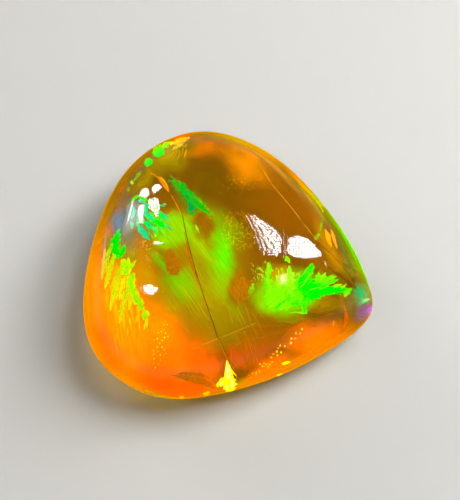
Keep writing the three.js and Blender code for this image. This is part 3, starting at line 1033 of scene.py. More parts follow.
glowSheets = {  # layers: middle in picture pixels, reach in mm, turn in degrees, softness, strength, colour
    # The back sheet glows and paints the stone's light and shade. Its oranges and reds are light that the
    # dome gathers, brightest towards the lower left and the lower rim. Its dark, brown and olive layers are
    # shade, darkest over the top
    "backGlow": {
        "box": ((228, 268), (19, 18)), "share": 0.93, "step": 0.3,
        "waver": 6.0, "waverSize": 5.0, "glow": 0.9, "streaks": None,
        "layers": {
            "evenAmber": ((225, 250), (22, 20), 0, 0.5, 0.3, (0.34, 0.2, 0.0)),
            "darkTop": ((207, 184), (8.5, 4.6), -15, 1.0, 0.72, (0.15, 0.12, 0.0)),
            "brownShoulder": ((288, 212), (9.0, 6.5), -45, 1.0, 0.5, (0.34, 0.15, 0.0)),
            "topPatchLeft": ((200, 151), (4.0, 1.7), 0, 1.0, 0.75, (0.66, 0.25, 0.0)),
            "topPatchRight": ((246, 165), (5.8, 3.0), -28, 1.0, 0.88, (0.78, 0.37, 0.0)),
            "leftOrange": ((112, 315), (8.5, 13.0), 8, 0.7, 0.97, (0.95, 0.27, 0.0)),
            "bottomOrange": ((165, 352), (9.5, 6.5), -25, 0.8, 0.95, (0.95, 0.26, 0.0)),
            "leftRed": ((105, 343), (2.2, 6.0), 32, 1.0, 0.7, (0.95, 0.13, 0.0)),
            "bottomRed": ((182, 385), (8.4, 2.6), -14, 0.9, 0.9, (1.0, 0.095, 0.0)),
            "lowRed": ((204, 360), (3.4, 2.4), -30, 0.7, 0.9, (1.0, 0.17, 0.0)),
            "leftAmber": ((94, 285), (2.2, 8.0), -4, 1.0, 0.8, (1.0, 0.36, 0.0)),
            "lowBrown": ((252, 351), (6.8, 3.0), 17, 0.6, 0.95, (0.38, 0.105, 0.0)),
            "leftOlive": ((149, 276), (2.8, 6.2), 8, 1.0, 0.9, (0.52, 0.4, 0.0)),
            "tipShade": ((119, 247), (2.6, 2.6), 70, 1.0, 0.95, (0.32, 0.3, 0.0)),
            "shoulderOlive": ((169, 160), (4.4, 2.4), 35, 1.0, 0.85, (0.36, 0.42, 0.0)),
            "sideOliveLeft": ((143, 178), (4.2, 1.7), 50, 1.0, 0.8, (0.32, 0.33, 0.0)),
            "underOlive": ((326, 306), (4.4, 1.8), 5, 1.0, 0.8, (0.34, 0.27, 0.0)),
            "sideOlive": ((349, 268), (3.2, 1.5), -58, 1.0, 0.8, (0.26, 0.34, 0.0)),
            "rightOrange": ((318, 340), (6.2, 3.5), 28, 0.9, 0.97, (1.0, 0.23, 0.0)),
            "lowOrangeBand": ((262, 373), (7.0, 1.7), 21, 0.9, 0.97, (1.0, 0.2, 0.0)),
            "lowOlive": ((272, 333), (5.2, 1.2), 16, 1.0, 0.95, (0.26, 0.13, 0.0)),
        },
    },
    "midGlow": {
        "box": ((222, 270), (13, 10)), "share": 0.6, "step": 0.2,
        "waver": 2.8, "waverSize": 2.6, "glow": 1.0, "streaks": (-55, 3.4, 0.26, 0.2, 0.25),
        "layers": {
            "veil": ((205, 295), (10.5, 6.6), -52, 1.0, 0.85, (0.34, 0.38, 0.0)),
            "field": ((196, 250), (8.5, 5.6), -35, 0.9, 0.75, (0.26, 0.4, 0.0)),
            "arc": ((224, 226), (5.4, 2.4), -52, 1.0, 0.8, (0.16, 0.44, 0.0)),
            "bandGreen": ((192, 200), (3.8, 1.6), -42, 1.0, 0.8, (0.02, 0.35, 0.02)),
            "limePatch": ((174, 232), (3.3, 2.9), 20, 0.5, 0.97, (0.2, 0.76, 0.0)),
            "brightBar": ((222, 258), (5.6, 2.3), 94, 0.9, 0.95, (0.08, 0.95, 0.0)),
            "barTail": ((227, 292), (5.0, 2.1), -58, 1.0, 0.85, (0.22, 0.58, 0.0)),
            "lowerPatch": ((184, 285), (3.6, 2.8), -35, 0.9, 0.95, (0.16, 0.66, 0.0)),
            "filaments": ((199, 245), (5.0, 1.1), -50, 1.0, 0.85, (0.25, 0.7, 0.0)),
            "leftStreak": ((160, 264), (3.6, 0.9), -42, 1.0, 0.85, (0.1, 0.66, 0.0)),
            "holeLeft": ((180, 261), (1.8, 2.3), -20, 0.8, 0.75, (0.3, 0.19, 0.0)),
            "holeTop": ((203, 223), (1.7, 2.2), 25, 0.5, 0.8, (0.22, 0.1, 0.0)),
            "holeLow": ((240, 288), (2.0, 2.7), 0, 0.6, 0.85, (0.3, 0.15, 0.0)),
            # painted light, which the dome gathers towards the lower left
            "lowOrange": ((160, 325), (4.6, 4.0), -50, 1.0, 0.8, (1.0, 0.36, 0.0)),
            "lowSideOlive": ((173, 303), (3.2, 2.4), -50, 1.0, 0.6, (0.3, 0.4, 0.0)),
        },
    },
    "burstGlow": {
        "box": ((290, 287), (6.0, 4.5)), "share": 0.2, "step": 0.15,
        "waver": 1.6, "waverSize": 1.6, "glow": 1.1, "streaks": (38, 2.0, 0.3, 0.26, 0.3),
        "layers": {
            "burstField": ((287, 293), (5.4, 3.5), 12, 0.6, 0.98, (0.16, 0.95, 0.0)),
            "burstAmber": ((277, 274), (3.2, 1.8), 5, 1.0, 0.9, (0.42, 0.3, 0.0)),
            "burstHeartGlow": ((303, 290), (2.8, 1.8), 10, 0.9, 0.9, (0.0, 1.0, 0.0)),
            # a painted highlight, soft and pale, round the lamp's small mirror image
            "burstPaintedHighlight": ((283, 279.5), (0.85, 0.7), 20, 1.0, 0.95, (0.8, 1.0, 1.2)),
            "burstUnder": ((293, 321), (3.0, 0.5), 10, 0.9, 0.6, (0.2, 0.3, 0.0)),
        },
    },
    "featherGlow": {
        "box": ((122, 308), (6.0, 9.5)), "share": 0.25, "step": 0.2,
        "waver": 2.2, "waverSize": 2.2, "glow": 1.1, "streaks": (-80, 3.2, 0.3, 0.8, 0.14),
        "layers": {
            "strandsLow": ((128, 330), (7.6, 4.2), 105, 1.0, 0.75, (1.0, 0.46, 0.0)),
            "strandsYellow": ((119, 297), (5.4, 2.6), 98, 1.0, 0.8, (1.0, 0.7, 0.0)),
            "strandsLime": ((122, 274), (3.6, 1.7), 110, 1.0, 0.7, (0.6, 0.8, 0.0)),
        },
    },
    "violetHaze": {
        "box": ((126, 226), (4.0, 4.5)), "share": 0.1, "step": 0.2,
        "waver": 3.2, "waverSize": 1.8, "glow": 0.9, "streaks": (74, 4.0, 0.35, 0.3, 0.3),
        "layers": {
            "tipOlive": ((109, 246), (3.0, 1.5), 78, 1.0, 0.95, (0.27, 0.24, 0.03)),
            "innerOlive": ((131, 256), (2.3, 1.4), 55, 1.0, 0.9, (0.3, 0.29, 0.0)),
            "haze": ((126, 221), (4.4, 2.3), 72, 0.8, 0.95, (0.09, 0.21, 0.62)),
            "blueHeart": ((118, 223), (2.2, 1.2), 70, 1.0, 0.8, (0.02, 0.19, 1.1)),
            "greyHeart": ((130, 240), (2.6, 1.8), 60, 1.0, 0.9, (0.12, 0.21, 0.3)),
        },
    },
    "shardGlow": {
        "box": ((168, 208), (5.4, 4.6)), "share": 0.22, "step": 0.16,
        "waver": 1.8, "waverSize": 1.4, "glow": 0.9, "streaks": (-50, 1.6, 0.25, 0.5, 0.2),
        "layers": {
            "bandSoft": ((189, 197), (3.6, 0.9), -44, 1.0, 0.85, (0.0, 0.5, 0.06)),
            "tealSoft": ((149, 220), (2.7, 1.8), -40, 1.0, 0.75, (0.0, 0.42, 0.4)),
            "greenSoft": ((159, 228), (1.8, 1.4), -40, 1.0, 0.8, (0.02, 0.6, 0.02)),
        },
    },
    "tipGlow": {
        "box": ((357, 300), (2.8, 3.2)), "share": 0.25, "step": 0.12,
        "waver": 0.9, "waverSize": 0.8, "glow": 1.1, "streaks": (20, 1.0, 0.2, 0.5, 0.2),
        "layers": {
            "tipGrey": ((352, 301), (2.0, 2.2), 0, 1.0, 0.85, (0.16, 0.15, 0.09)),
            "tipTeal": ((361, 293), (1.5, 1.7), 0, 1.0, 0.95, (0.0, 0.5, 0.42)),
            "tipCyan": ((365, 301), (1.6, 0.8), 20, 1.0, 0.9, (0.05, 0.5, 0.9)),
            "tipViolet": ((365, 311), (2.2, 1.2), 40, 0.9, 0.97, (0.16, 0.07, 1.2)),
            "tipMagenta": ((371, 309.5), (0.8, 0.7), 40, 1.0, 0.95, (0.5, 0.08, 3.0)),
        },
    },
}


def glowLayer(sheet, material, seed, middle, reach, turn, softness, strength, colour):
    return {
        **patchPlace(middle, reach, turn, seed, material), "softness": softness, "strength": strength,
        "waver": sheet["waver"] * mm, "waverSize": sheet["waverSize"] * mm, "colour": (*colour, 1.0),
    }


softGlow = glowTree()


def makeGlows():
    for name, sheet in glowSheets.items():
        middle, reach = sheet["box"]
        host = boxSheet(name, middle, (reach[0] * mm, reach[1] * mm), sheet["share"], sheet["step"] * mm)
        material = glowMaterial(name, sheet["glow"], sheet["streaks"])
        layers = []
        for k, (middle, *values) in enumerate(sheet["layers"].values()):
            layers.append(glowLayer(sheet, material, k, inPlane(middle), *values))
        insideStone(grow(name, softGlow, host, *layers))


rimLook = {  # lengths in mm
    "glow": 0.6,
    "step": 0.25,
    "waver": 0.25,
    "waverSize": 1.5,
    "overhang": 0.55,  # how far a line's light reaches from its middle, in lengths: half would fade its ends
    "softness": 0.8,
}

rimGlows = {  # painted lines of light and shade close to the outline: points, half width in mm, share, strength, colour
    "rimUpperLeft": (((152.5, 144.5), (138, 156), (126.5, 167.5), (116.5, 180), (110, 190), (101.5, 210.5),
        (96.5, 226), (93, 240)), 0.22, 0.5, 0.95, (0.9, 0.5, 0.0)),
    "rimUpperLeftDark": (((151, 150), (141, 158), (130, 169), (121, 181), (114, 193), (107, 209),
        (102, 225)), 0.16, 0.4, 0.8, (0.12, 0.08, 0.0)),
    "rimUpperStripe": (((128, 180), (121, 190), (116, 200)), 0.3, 0.35, 0.8, (0.6, 0.12, 0.0)),
    "rimLeft": (((97, 228), (91.5, 250), (88, 275), (87.5, 300), (91, 330), (103, 356)), 0.5, 0.5, 0.9,
        (1.0, 0.42, 0.0)),
    "rimTopRed": (((167, 142), (183, 136), (197, 133.6)), 0.3, 0.5, 0.95, (1.0, 0.05, 0.0)),
    "rimTopYellow": (((171, 145), (180, 141), (190, 139)), 0.5, 0.4, 0.9, (1.0, 0.6, 0.0)),
    "rimTopOlive": (((196, 137), (215, 135.5), (240, 141), (262, 151), (280, 164)), 0.5, 0.5, 0.6,
        (0.36, 0.42, 0.0)),
    "rimTopRight": (((283, 166), (297, 179), (310, 194), (322, 208)), 0.4, 0.5, 0.8, (1.0, 0.25, 0.0)),
    "rimBrownLine": (((214, 138.5), (238, 144.5), (260, 155), (280, 171.5), (298, 191.5), (312, 210)),
        0.5, 0.3, 0.8, (0.44, 0.25, 0.0)),
    "flameSide": (((226, 341), (233, 351), (240, 363), (249, 371)), 0.9, 0.4, 0.65, (0.75, 0.14, 0.0)),
    "rimSideAmber": (((314, 212), (318, 226), (327, 244), (336, 262), (343, 280)), 1.1, 0.45, 0.6,
        (0.6, 0.36, 0.0)),
    "rimSoftGreen": (((322.5, 212), (322, 222), (319.5, 233), (317, 240)), 0.4, 0.3, 0.75,
        (0.2, 0.42, 0.0)),
    "rimRightInner": (((296, 183), (308, 196), (319, 211), (327, 224)), 0.35, 0.4, 0.7, (0.55, 0.45, 0.0)),
    "rimRightGreen": (((322, 207), (332, 219), (341, 232), (349, 246), (357, 262), (363.5, 275),
        (367.5, 286)), 0.3, 0.5, 0.95, (0.05, 0.6, 0.0)),
    "rimRightBright": (((326, 208.5), (336, 221), (345, 234.5), (353, 248.5), (361, 265.5), (367, 280),
        (370.5, 292)), 0.16, 0.5, 0.98, (0.35, 1.2, 0.0)),
    "rimRightDark": (((332, 228), (343, 249), (352, 267), (359, 283)), 0.35, 0.5, 0.85, (0.08, 0.18, 0.0)),
    "rimLow": (((126, 381), (142.5, 389), (151, 392.5), (161, 396.3), (173, 398), (190, 398.5)),
        0.2, 0.5, 0.95, (0.42, 0.6, 0.0)),
    "rimLowMiddle": (((190, 397), (206, 395), (222, 391.5), (240, 386), (258, 380)), 0.35, 0.5, 0.95,
        (0.75, 0.2, 0.0)),
    "rimLowRight": (((236, 383.5), (254, 377.5), (272, 372), (291, 364.5), (315, 352), (340, 336),
        (362, 320)), 0.6, 0.5, 0.97, (1.0, 0.3, 0.0)),
    "rimLowEdge": (((238, 387), (258, 381.5), (277, 375.5), (294, 368.5), (317, 356), (343, 339),
        (366, 320)), 0.2, 0.5, 0.97, (1.0, 0.3, 0.0)),
}


def makeRimGlows():
    material = glowMaterial("rimGlow", rimLook["glow"])
    for seed, (name, (points, halfWidth, share, strength, colour)) in enumerate(rimGlows.items()):
        host, length = routeSheet(name, points, halfWidth * mm, share, rimLook["step"] * mm)
        reach = (length * rimLook["overhang"] / mm, halfWidth)
        middle = Vector((length / 2, 0.0, 0.0))
        insideStone(grow(name, softGlow, host, glowLayer(
            rimLook, material, seed, middle, reach, 0, rimLook["softness"], strength, colour)))


makeRimGlows()
makeGlows()

flakeThickness = 0.03 * mm
fireFlakes = flakeTree()


def finishPlate(piece):  # a plate of fire gets its thickness
    shell = piece.modifiers.new("thickness", "SOLIDIFY")
    shell.thickness = flakeThickness
    insideStone(settle(piece))


def makeFlakes(patches, material, fineness):  # fineness: how many faces a patch's longer reach spans
    for name, patch in patches.items():
        step = max(patch[1]) * mm / fineness
        finishPlate(grow(name, fireFlakes, hostSheet(name, patch, step), patchValues(patch, material)))


makeFlakes(flakes, brightFire, 36)
makeFlakes(glints, lampFire, 30)

fraying = {
    "step": 0.8,  # picture pixels
    "start": (0.0, 0.5),  # where a fibre leaves its line, and how far it goes along, as shares of the line
    "reach": (0.25, 0.5),
    "leanHere": (-0.6, 0.6),  # how far beside the line it starts and ends, in half widths
    "leanThere": (-1.7, 1.7),
    "halfWidth": (0.3, 0.75),
    "thick": (0.33, 0.67),  # it has this half width between these shares of its own length
    "tip": 0.15,
}


def frayed(lines, fibres, luck):  # adds thin fibres that start in each line and part from it
    threads = list(lines)
    for points, jag, colours in lines:
        route = smoothRoute(points, fraying["step"])
        for k in range(fibres):
            start = luck.uniform(*fraying["start"])
            end = start + luck.uniform(*fraying["reach"])
            leanHere = luck.uniform(*fraying["leanHere"])
            leanThere = luck.uniform(*fraying["leanThere"])
            middle, tip = luck.uniform(*fraying["halfWidth"]), fraying["tip"]
            thread = []
            stops = ((0.0, tip), *((t, middle) for t in fraying["thick"]), (1.0, tip))
            for t, halfWidth in stops:
                here = round((start + (end - start) * t) * (len(route) - 1))
                px, py, wide = route[here]
                side = sideOf(route, here)
                out = (leanHere + (leanThere - leanHere) * t) * max(wide, 1.0)
                thread.append((px + side.x * out, py + side.y * out, halfWidth))
            threads.append((thread, jag, colours))
    return threads


tearing = {
    "step": 0.6,  # picture pixels
    "thinnest": 0.8,  # a stroke with a half width over this has 6 faces across, and the others 2
    "along": 0.25,  # how fast the tears change from step to step
    "edgesApart": 9.0,  # keeps the tears of the two edges different
    "linesApart": 2.7,
    "fineness": 3.1,  # of smaller tears on the large ones
    "fineDepth": 0.7,
    "mottle": 0.7,
    "grain": (0.12, 0.9, 3.1),  # how fast the dark lines change along, across and from stroke to stroke
}


def strokeMesh(name, share, seed, lines):  # ribbons whose two edges are torn by noise
    places = []
    colours = []
    grains = []
    index = {}
    along, across, apart = tearing["grain"]
    for salt, (points, jag, (near, far, fringe)) in enumerate(lines):
        line = smoothRoute(points, tearing["step"])
        columns = 6 if max(point[2] for point in points) > tearing["thinnest"] else 2
        for k, (px, py, halfWidth) in enumerate(line):
            side = sideOf(line, k)
            body = Vector(near).lerp(Vector(far), k / (len(line) - 1))
            for j in range(columns + 1):
                part = 2 * j / columns - 1  # from -1 at one edge to 1 at the other
                edge = tearing["edgesApart"] if part > 0 else 0.0
                torn = Vector((k * tearing["along"], edge, seed + salt * tearing["linesApart"]))
                tear = noise.noise(torn) + tearing["fineDepth"] * noise.noise(torn * tearing["fineness"])
                out = part * halfWidth * (1 + 2 * jag * tear)
                seen = lookInside(px + side.x * out, py + side.y * out, share)
                if seen is None:
                    continue
                index[salt, k, j] = len(places)
                places.append(seen[0])
                fringeShare = abs(part) * 2 - 1 + noise.noise(Vector((px, py, seed)) * tearing["mottle"])
                colours.append(body.lerp(Vector(fringe), min(1.0, max(0.0, fringeShare))))
                grains.append(Vector((k * along, out * across, salt * apart)))
    mesh = newMesh(name, places, facesOf(index))
    paint(mesh, "fire", "FLOAT_COLOR", colours)
    paint(mesh, "grain", "FLOAT_VECTOR", grains)
    return mesh


def makeStrokes(groups, material):
    for name, (share, seed, fibres, lines) in groups.items():
        piece = linked(name, strokeMesh(name, share, seed, frayed(lines, fibres, random.Random(seed))))
        piece.data.materials.append(material)
        finishPlate(piece)


makeStrokes(strokes, brightFire)
makeStrokes(flameStrokes, lampFire)

dotLook = {"step": 0.2 * mm, "grain": (0.6, 0.6), "raggedness": 0.5, "colours": (brightYellow, amber, yellow)}


def makeSlivers():
    slivers = sliverTree()
    for name, patch in brushes.items():
        density, fan, stray, length, breadth = patch[9:]
        insideStone(grow(name, slivers, hostSheet(name, patch, sliverLook["step"]), {
            **patchValues(patch, brightFire), "density": density / mm ** 2, "fanCentre": inPlane(fan),
            "stray": math.radians(stray), "shortest": length[0] * mm, "longest": length[1] * mm,
            "breadth": breadth * mm, "thickness": sliverLook["thickness"],
        }))


def makeDots():
    pinpoints = pinpointTree()
    for name, (middle, reach, turn, share, seed, density, apart, size) in dots.items():
        edge = (dotLook["grain"], dotLook["raggedness"], 0.0)
        patch = (middle, reach, turn, share, *edge, seed, dotLook["colours"])
        insideStone(grow(name, pinpoints, hostSheet(name, patch, dotLook["step"]), {
            **patchValues(patch, dotFire), "density": density / mm ** 2, "apart": apart * mm,
            "smallest": size[0] * mm, "largest": size[1] * mm,
        }))


makeSlivers()
makeDots()


# Hairline fractures, which run down into the stone, with painted glints, and a painted line of light where
# the back's edge shows through

cracks = {  # points in picture pixels, lean in mm, shares, strength, colour of the near edge and of the rest
    # A gold or orange near colour paints a glint of light off the crack
    "mainCrackTop": (((150, 173), (160, 179), (168, 190), (175, 202), (182, 216)), 0.13, (0.02, 0.05), 0.9,
        (0.95, 0.5, 0.05), (0.3, 0.1, 0.0)),
    "mainCrack": (((182, 216), (188, 245), (195, 271), (201, 290), (207, 308), (212, 322), (217, 338)),
        0.14, (0.02, 0.06), 0.95, (0.36, 0.15, 0.0), (0.09, 0.03, 0.0)),
    "mainCrackLow": (((217, 338), (221, 345), (225, 355), (228, 360), (233.7, 368), (236.6, 376.5),
        (236, 383)), 0.13, (0.1, 0.2), 0.9, (0.9, 0.45, 0.05), (0.09, 0.03, 0.0)),
    "sideCrack": (((184, 232), (189, 258), (195, 274), (205, 296)), 0.1, (0.02, 0.05), 0.75,
        (0.8, 0.38, 0.03), (0.25, 0.07, 0.0)),
    "rightCrackTop": (((257, 159), (271, 183), (290, 206), (303, 223), (314, 237), (318, 241.5)), 0.075,
        (0.02, 0.035), 0.95, (1.0, 0.7, 0.15), (0.35, 0.18, 0.0)),
    "rightCrack": (((318, 243), (333, 256.5), (344.5, 269.7), (352.8, 282), (355.3, 289)), 0.09,
        (0.02, 0.045), 0.75, (0.34, 0.22, 0.0), (0.1, 0.07, 0.0)),
    "rightCrackEnd": (((343, 295), (344, 304.5), (346.5, 315), (345.5, 326), (341, 332)), 0.14,
        (0.03, 0.12), 0.75, (1.0, 0.25, 0.0), (0.5, 0.1, 0.0)),
    "lowLine": (((193, 349), (212, 341), (230, 334), (255.5, 323.3)), 0.08, (0.3, 0.33), 1.0,
        (1.0, 0.62, 0.2), (0.6, 0.28, 0.02)),
    # not a fracture: a painted line of light where the flat back's edge shows through the dome
    "lowLineFaint": (((220, 348), (267, 336), (309, 320), (343, 312)), 0.07, (0.32, 0.35), 0.6,
        (0.9, 0.45, 0.08), (0.5, 0.2, 0.0)),
    "underBurst": (((275.7, 324.4), (291.4, 323.4), (303, 321), (309.5, 317.6)), 0.08, (0.3, 0.33), 0.8,
        (0.2, 0.42, 0.0), (0.15, 0.25, 0.0)),
}


crackLook = {
    "glow": 0.3,
    "step": 0.25 * mm,
    "edgeShare": 0.35,  # of the lean, where the near colour ends
    "edgeFade": 1.6,  # the far colour is full at this many edges
    "breakSize": 1.5 * mm,
    "breaks": (0.35, 0.55, 0.35, 1.0),  # from where to where the noise takes a film from faint to whole
}


def crackTree():  # a dull film with a bright edge, here and there broken
    tree, given = newTree("crack film", {
        "edge strength": "Float", "nearColour farColour": "Color", "material": "Material",
    })
    along, down, out = parts(tree, named(tree, "spot"))
    faded = ramp(tree, down, given["edge"], times(tree, given["edge"], crackLook["edgeFade"]))
    broken = put(tree, "ShaderNodeTexNoise", {
        "Vector": joined(tree, along), "Scale": 1.0 / crackLook["breakSize"], "Detail": 3.0,
    }).outputs[0]
    cover = times(tree, ramp(tree, broken, *crackLook["breaks"]), given["strength"])
    return coveredEnd(tree, given, blendColour(tree, faded, given["nearColour"], given["farColour"]), cover)


def makeCracks():
    crackFilm = crackTree()
    material = glowMaterial("crackFilm", crackLook["glow"])
    for name, (points, lean, shares, strength, near, far) in cracks.items():
        host = curtainSheet(name, points, lean * mm, shares, crackLook["step"])
        insideStone(grow(name, crackFilm, host, {
            "edge": lean * mm * crackLook["edgeShare"], "strength": strength, "nearColour": (*near, 1.0),
            "farColour": (*far, 1.0), "material": material,
        }))


makeCracks()


# The table and the studio's light

tableTop = {
    "halfWidth": 1.2,
    "gap": 0.02 * mm,  # under the stone
    "colour": (0.25, 0.244, 0.232, 1.0),
    "roughness": 0.7,
}


def makeFloor():
    half, low = tableTop["halfWidth"], -tableTop["gap"]
    corners = [(-half, -half, low), (half, -half, low), (half, half, low), (-half, half, low)]
    floor = linked("floor", newMesh("floor", corners, [(0, 1, 2, 3)]))
    paper, tree, surface = newMaterial("paleFloor", {
        "Base Color": tableTop["colour"], "Roughness": tableTop["roughness"],
    })
    floor.data.materials.append(paper)
    floor.visible_glossy = False  # the polish mirrors only the lamps and the dark room


fill = {"place": Vector((-0.5, -0.2, 0.6)), "width": 0.5, "power": 0.6}


def makeFillLight():  # a soft light that the polish doesn't mirror
    lamp = bpy.data.lights.new("fillLight", "AREA")
    lamp.shape = "SQUARE"
    lamp.size = fill["width"]
    lamp.energy = fill["power"]
    light = linked("fillLight", lamp)
    aim = (-fill["place"]).to_track_quat("-Z", "Y").to_matrix()
    light.matrix_world = Matrix.Translation(fill["place"]) @ aim.to_4x4()
    light.visible_glossy = False
    light.visible_transmission = False


studio = {
    "roomColour": (1.0, 0.97, 0.93, 1.0),
    "roomLight": 0.1,  # what the floor receives from all round
    "roomInPolish": 0.03,  # what the polish mirrors above it
    "tableInPolish": 0.9,  # and below the horizon, where it is warm on the left and green on the right
    "tableColour": (1.0, 0.46, 0.0, 1.0),
    "tableColourRight": (0.3, 1.0, 0.0, 1.0),
    "tableFrom": (0.0, -0.5),  # how far below the horizon its mirror image comes in
    "greenTowards": Vector((1.0, -0.9, 0.0)),
    "greenFrom": (-0.33, -0.2),  # from where to where that way the green comes in
    "greenBehind": (0.37, 0.43),  # and towards the back
    "throughStone": 0.15,  # what shows through the stone where the lamp's glow isn't
    "backGlowFrom": Vector((0.1, 0.85, 0.45)),  # a broad glow behind the stone
    "backGlowEdge": 0.3,
    "backGlow": 1.2,
    "lampGlowFrom": Vector((0.55, 0.55, 0.75)),  # the lamp's own glow, which the dome gathers
    "lampGlowEdge": 0.8,
    "lampGlow": 14.0,
}


def lightWorld():
    world = bpy.data.worlds.new("studio")
    stage.world = world
    world.use_nodes = True
    tree = world.node_tree
    path = put(tree, "ShaderNodeLightPath").outputs
    facing = put(tree, "ShaderNodeTexCoord").outputs["Generated"]
    through = studio["throughStone"]
    for glow in ("backGlow", "lampGlow"):
        towards = vcalc(tree, "DOT_PRODUCT", facing, studio[glow + "From"].normalized())
        shine = ramp(tree, towards, studio[glow + "Edge"], 1.0)
        through = calc(tree, "MULTIPLY_ADD", shine, studio[glow], through)
    east, north, up = parts(tree, facing)
    below = ramp(tree, up, *studio["tableFrom"])
    sideways = ramp(tree, vcalc(tree, "DOT_PRODUCT", facing, studio["greenTowards"]), *studio["greenFrom"])
    greenShare = times(tree, sideways, ramp(tree, north, *studio["greenBehind"]))
    tableColour = blendColour(tree, greenShare, studio["tableColour"], studio["tableColourRight"])
    inPolish = blend(tree, below, studio["roomInPolish"], studio["tableInPolish"])
    roundAbout = blend(tree, path["Is Glossy Ray"], studio["roomLight"], inPolish)
    warm = times(tree, below, path["Is Glossy Ray"])
    wire(tree, tree.nodes["Background"], {
        "Color": blendColour(tree, warm, studio["roomColour"], tableColour),
        "Strength": blend(tree, path["Is Transmission Ray"], roundAbout, through),
    })


diffuser = {  # its threads, as the lamp's mirror image shows them
    "distance": 0.35,  # from the polish to the lamp
    "gap": 0.36 * mm,
    "looseness": 0.45,
    "hole": (0.28, 0.75),  # how wide the dark meshes are in the middle and at the edge, in gaps
    "holeRise": 0.6,  # how far in from the edge they have the width of the middle
    "holeEdge": (-0.05, 0.1),
}


def lampMaterial(name, strength, weave, colour):  # weave: how clearly the threads of the lamp's diffuser show
    lamp, tree, surface = newMaterial(name, {})
    tree.nodes.remove(surface)
    lit = painted(tree, "lit", "Fac")
    threads = put(tree, "ShaderNodeTexVoronoi", {
        "Vector": painted(tree, "spot", "Vector"), "Scale": 1.0 / diffuser["gap"],
        "Randomness": diffuser["looseness"],
    }, voronoi_dimensions="2D").outputs["Distance"]
    small, large = diffuser["hole"]
    hole = ramp(tree, lit, 0.0, diffuser["holeRise"], large, small * weave)
    mesh = ramp(tree, minus(tree, threads, hole), *diffuser["holeEdge"])
    woven = blend(tree, min(weave, 1.0), lit, mesh)
    glow = put(tree, "ShaderNodeEmission", {
        "Color": (*colour, 1.0), "Strength": times(tree, woven, strength),
    })
    wire(tree, tree.nodes["Material Output"], {"Surface": glow.outputs[0]})
    return lamp


def lampPanel(name, outlines, strength, weave, soft, colour=(1.0, 1.0, 1.0)):
    spots = []  # the panel is laid out so that its mirror image fills these outlines in the picture
    lit = []
    faces = []
    for outline in outlines:
        corners = [Vector(corner) for corner in outline]
        middle = sum(corners, Vector((0.0, 0.0))) / len(corners)
        count = len(corners)
        first = len(spots)
        spots += [middle] + [middle.lerp(corner, 1 - soft) for corner in corners] + corners
        lit += [1.0] * (count + 1) + [0.0] * count
        for i in range(count):
            here, ahead = first + 1 + i, first + 1 + (i + 1) % count
            faces.append((first, here, ahead))
            faces.append((here, here + count, ahead + count, ahead))
    rays = []
    for spot in spots:
        hit, normal, towards = onPolish(*spot)
        rays.append((hit, towards.reflect(normal)))
    away = sum((ray[1] for ray in rays), Vector()).normalized()
    centre = rays[0][0] + away * diffuser["distance"]
    mesh = newMesh(name, [hit + ray * ((centre - hit).dot(away) / ray.dot(away)) for hit, ray in rays], faces)
    paint(mesh, "lit", "FLOAT", [lit])
    paint(mesh, "spot", "FLOAT_VECTOR", [(spot.x * pixel, spot.y * pixel, 0.0) for spot in spots])
    mesh.materials.append(lampMaterial(name, strength, weave, colour))
    panel = linked(name, mesh)
    panel.visible_camera = False
    panel.visible_transmission = False
    panel.visible_shadow = False
    print(name, [round(v, 3) for v in centre], [round(v, 3) for v in panel.dimensions])


weft = {  # the broken threads of a woven light, in picture pixels
    "row": 2.4,
    "step": 0.4,  # along the two edges
    "leftEdge": (0.3, 1.0),  # how far a row starts beyond the edge, as a share of its looseness
    "rightEdge": (-0.8, 0.8),
    "long": (0.7, 1.5),
    "longMore": (2.0, 9.0),  # what a thread has more where the light is solid
    "shortest": 0.6,
    "gap": (0.3, 0.9),
    "gapMore": (0.5, 4.0),  # what a gap has more where it is loose
    "slope": 0.12,
    "bevel": 0.2,
    "blur": 0.2,  # of its edge, as a share of the thread
}


def wovenLight(rows, loose, seed):  # broken threads of light between two edges, loosest beside the left one
    luck = random.Random(seed)
    outlines = []
    line = smoothRoute(rows, weft["step"])
    for k in range(int((rows[-1][1] - rows[0][1]) / weft["row"]) + 1):
        py = rows[0][1] + k * weft["row"]
        left, here, right = min(line, key=lambda point: abs(point.y - py))
        px = left - loose * luck.uniform(*weft["leftEdge"])
        end = right + luck.uniform(*weft["rightEdge"])
        while px < end:
            solid = min(1.0, max(0.0, (px - left + loose) / (loose * 2)))
            long = luck.uniform(*weft["long"]) + solid ** 2 * luck.uniform(*weft["longMore"])
            long = min(long, max(weft["shortest"], end - px))
            half = (1 + solid) / 2
            slope = weft["slope"] * long
            near, far = px + weft["bevel"], px + long - weft["bevel"]
            outlines.append([(px, py), (near, py - half), (far, py - half + slope), (px + long, py + slope),
                             (far, py + half + slope), (near, py + half)])
            px += long + luck.uniform(*weft["gap"]) + (1 - solid) ** 2 * luck.uniform(*weft["gapMore"])
    return outlines


paleBlue = (0.35, 0.5, 1.0)
lavender = (0.85, 0.8, 1.0)
sand = (1.0, 0.82, 0.55)

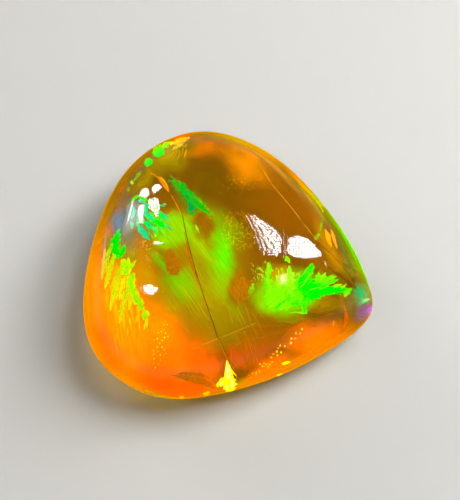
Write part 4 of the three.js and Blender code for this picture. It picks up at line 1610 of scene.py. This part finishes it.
lampPanels = {  # outline in picture pixels, brightness, how clearly the weave shows, blur of the edge, colour
    "windowRight": (((287, 236), (294.8, 234.5), (303, 236), (310, 239.2), (316, 245), (322, 252),
        (323.5, 256), (316, 258.8), (307, 260), (296.4, 259), (289, 256), (285, 251.4), (284.5, 247),
        (288, 244), (286.5, 240)), 44, 0.95, 0.28),
    "leftTop": (((138, 196.5), (141, 189.5), (145.5, 187), (149.5, 189.5), (150, 195), (146, 199)),
        33, 0.3, 0.5),
    "leftTopRight": (((151, 187), (155, 183.5), (160, 184), (162.5, 186.5), (159.5, 191), (156.5, 191.5),
        (152.5, 195.5)), 44, 0.6, 0.5),
    "leftStreak": (((135.5, 205), (141, 203.5), (145, 204), (144, 212), (143.5, 224.5), (138.5, 225),
        (138, 214)), 33, 0.3, 0.4),
    "leftHair": (((132.5, 200), (134.6, 199), (132, 209), (129.4, 220), (127, 229), (125.8, 228),
        (127.4, 219), (130, 208)), 26, 0, 0.5),
    "leftScratch": (((148, 199), (152, 196.5), (158, 197.5), (159.5, 203), (161, 208), (158.5, 212),
        (159.5, 217), (157, 218.5), (153, 213), (147, 208)), 36, 1, 0.35),
    "leftVeil": (((126, 204), (132, 198), (146, 200), (147, 215), (141, 228), (130, 236), (121, 238),
        (122, 222)), 8, 0, 0.95),
    "leftBlue": (((107, 224), (114, 208), (124, 205), (129, 220), (124, 236), (113, 236)),
        2.5, 0, 0.98, paleBlue),
    "leftRimVeil": (((106.5, 221), (109, 225), (106.5, 245), (104.5, 262), (102.5, 280), (100.5, 280),
        (101.5, 260), (103, 243)), 2, 0, 0.98, lavender),
    "leftDash": (((152.5, 241.5), (156, 240.5), (163, 241.5), (164, 243.5), (157, 245), (153, 244.5)),
        26, 0, 0.4),
    "leftDashSmall": (((142, 241.8), (145, 240.3), (147.5, 240.2), (145.5, 242), (142.5, 242.8)),
        10, 0, 0.6, sand),
    "burstSpot": (((278, 281), (281, 275.5), (287, 275.5), (289, 280), (286, 284.5), (281, 285)),
        9, 0, 0.95),
    "sideGlint": (((323.5, 260.5), (325.5, 260.8), (327.3, 267.5), (325.5, 267)), 14, 0, 0.7),
}

wovenPanels = {  # rows of left edge, height and right edge, looseness, seed, brightness
    "windowLeft": (((250, 216, 256), (252, 223.3, 267), (256, 230, 276), (258.5, 236.7, 281),
        (261, 243.3, 281.5), (265, 250, 281), (271, 256.5, 278)), 6.5, 41, 44),
    "leftLow": (((144, 285.4, 153), (140.8, 288, 157.6), (141.4, 291, 157), (146, 293.4, 153)),
        1.2, 43, 46),
    "windowGap": (((284, 230, 285.5), (284.5, 243, 286), (284, 257, 286)), 1.6, 42, 26),
}


makeFloor()
lightWorld()
makeFillLight()
for name, (outline, *values) in lampPanels.items():
    lampPanel(name, [outline], *values)
for name, (rows, loose, seed, strength) in wovenPanels.items():
    lampPanel(name, wovenLight(rows, loose, seed), strength, 0.0, weft["blur"])
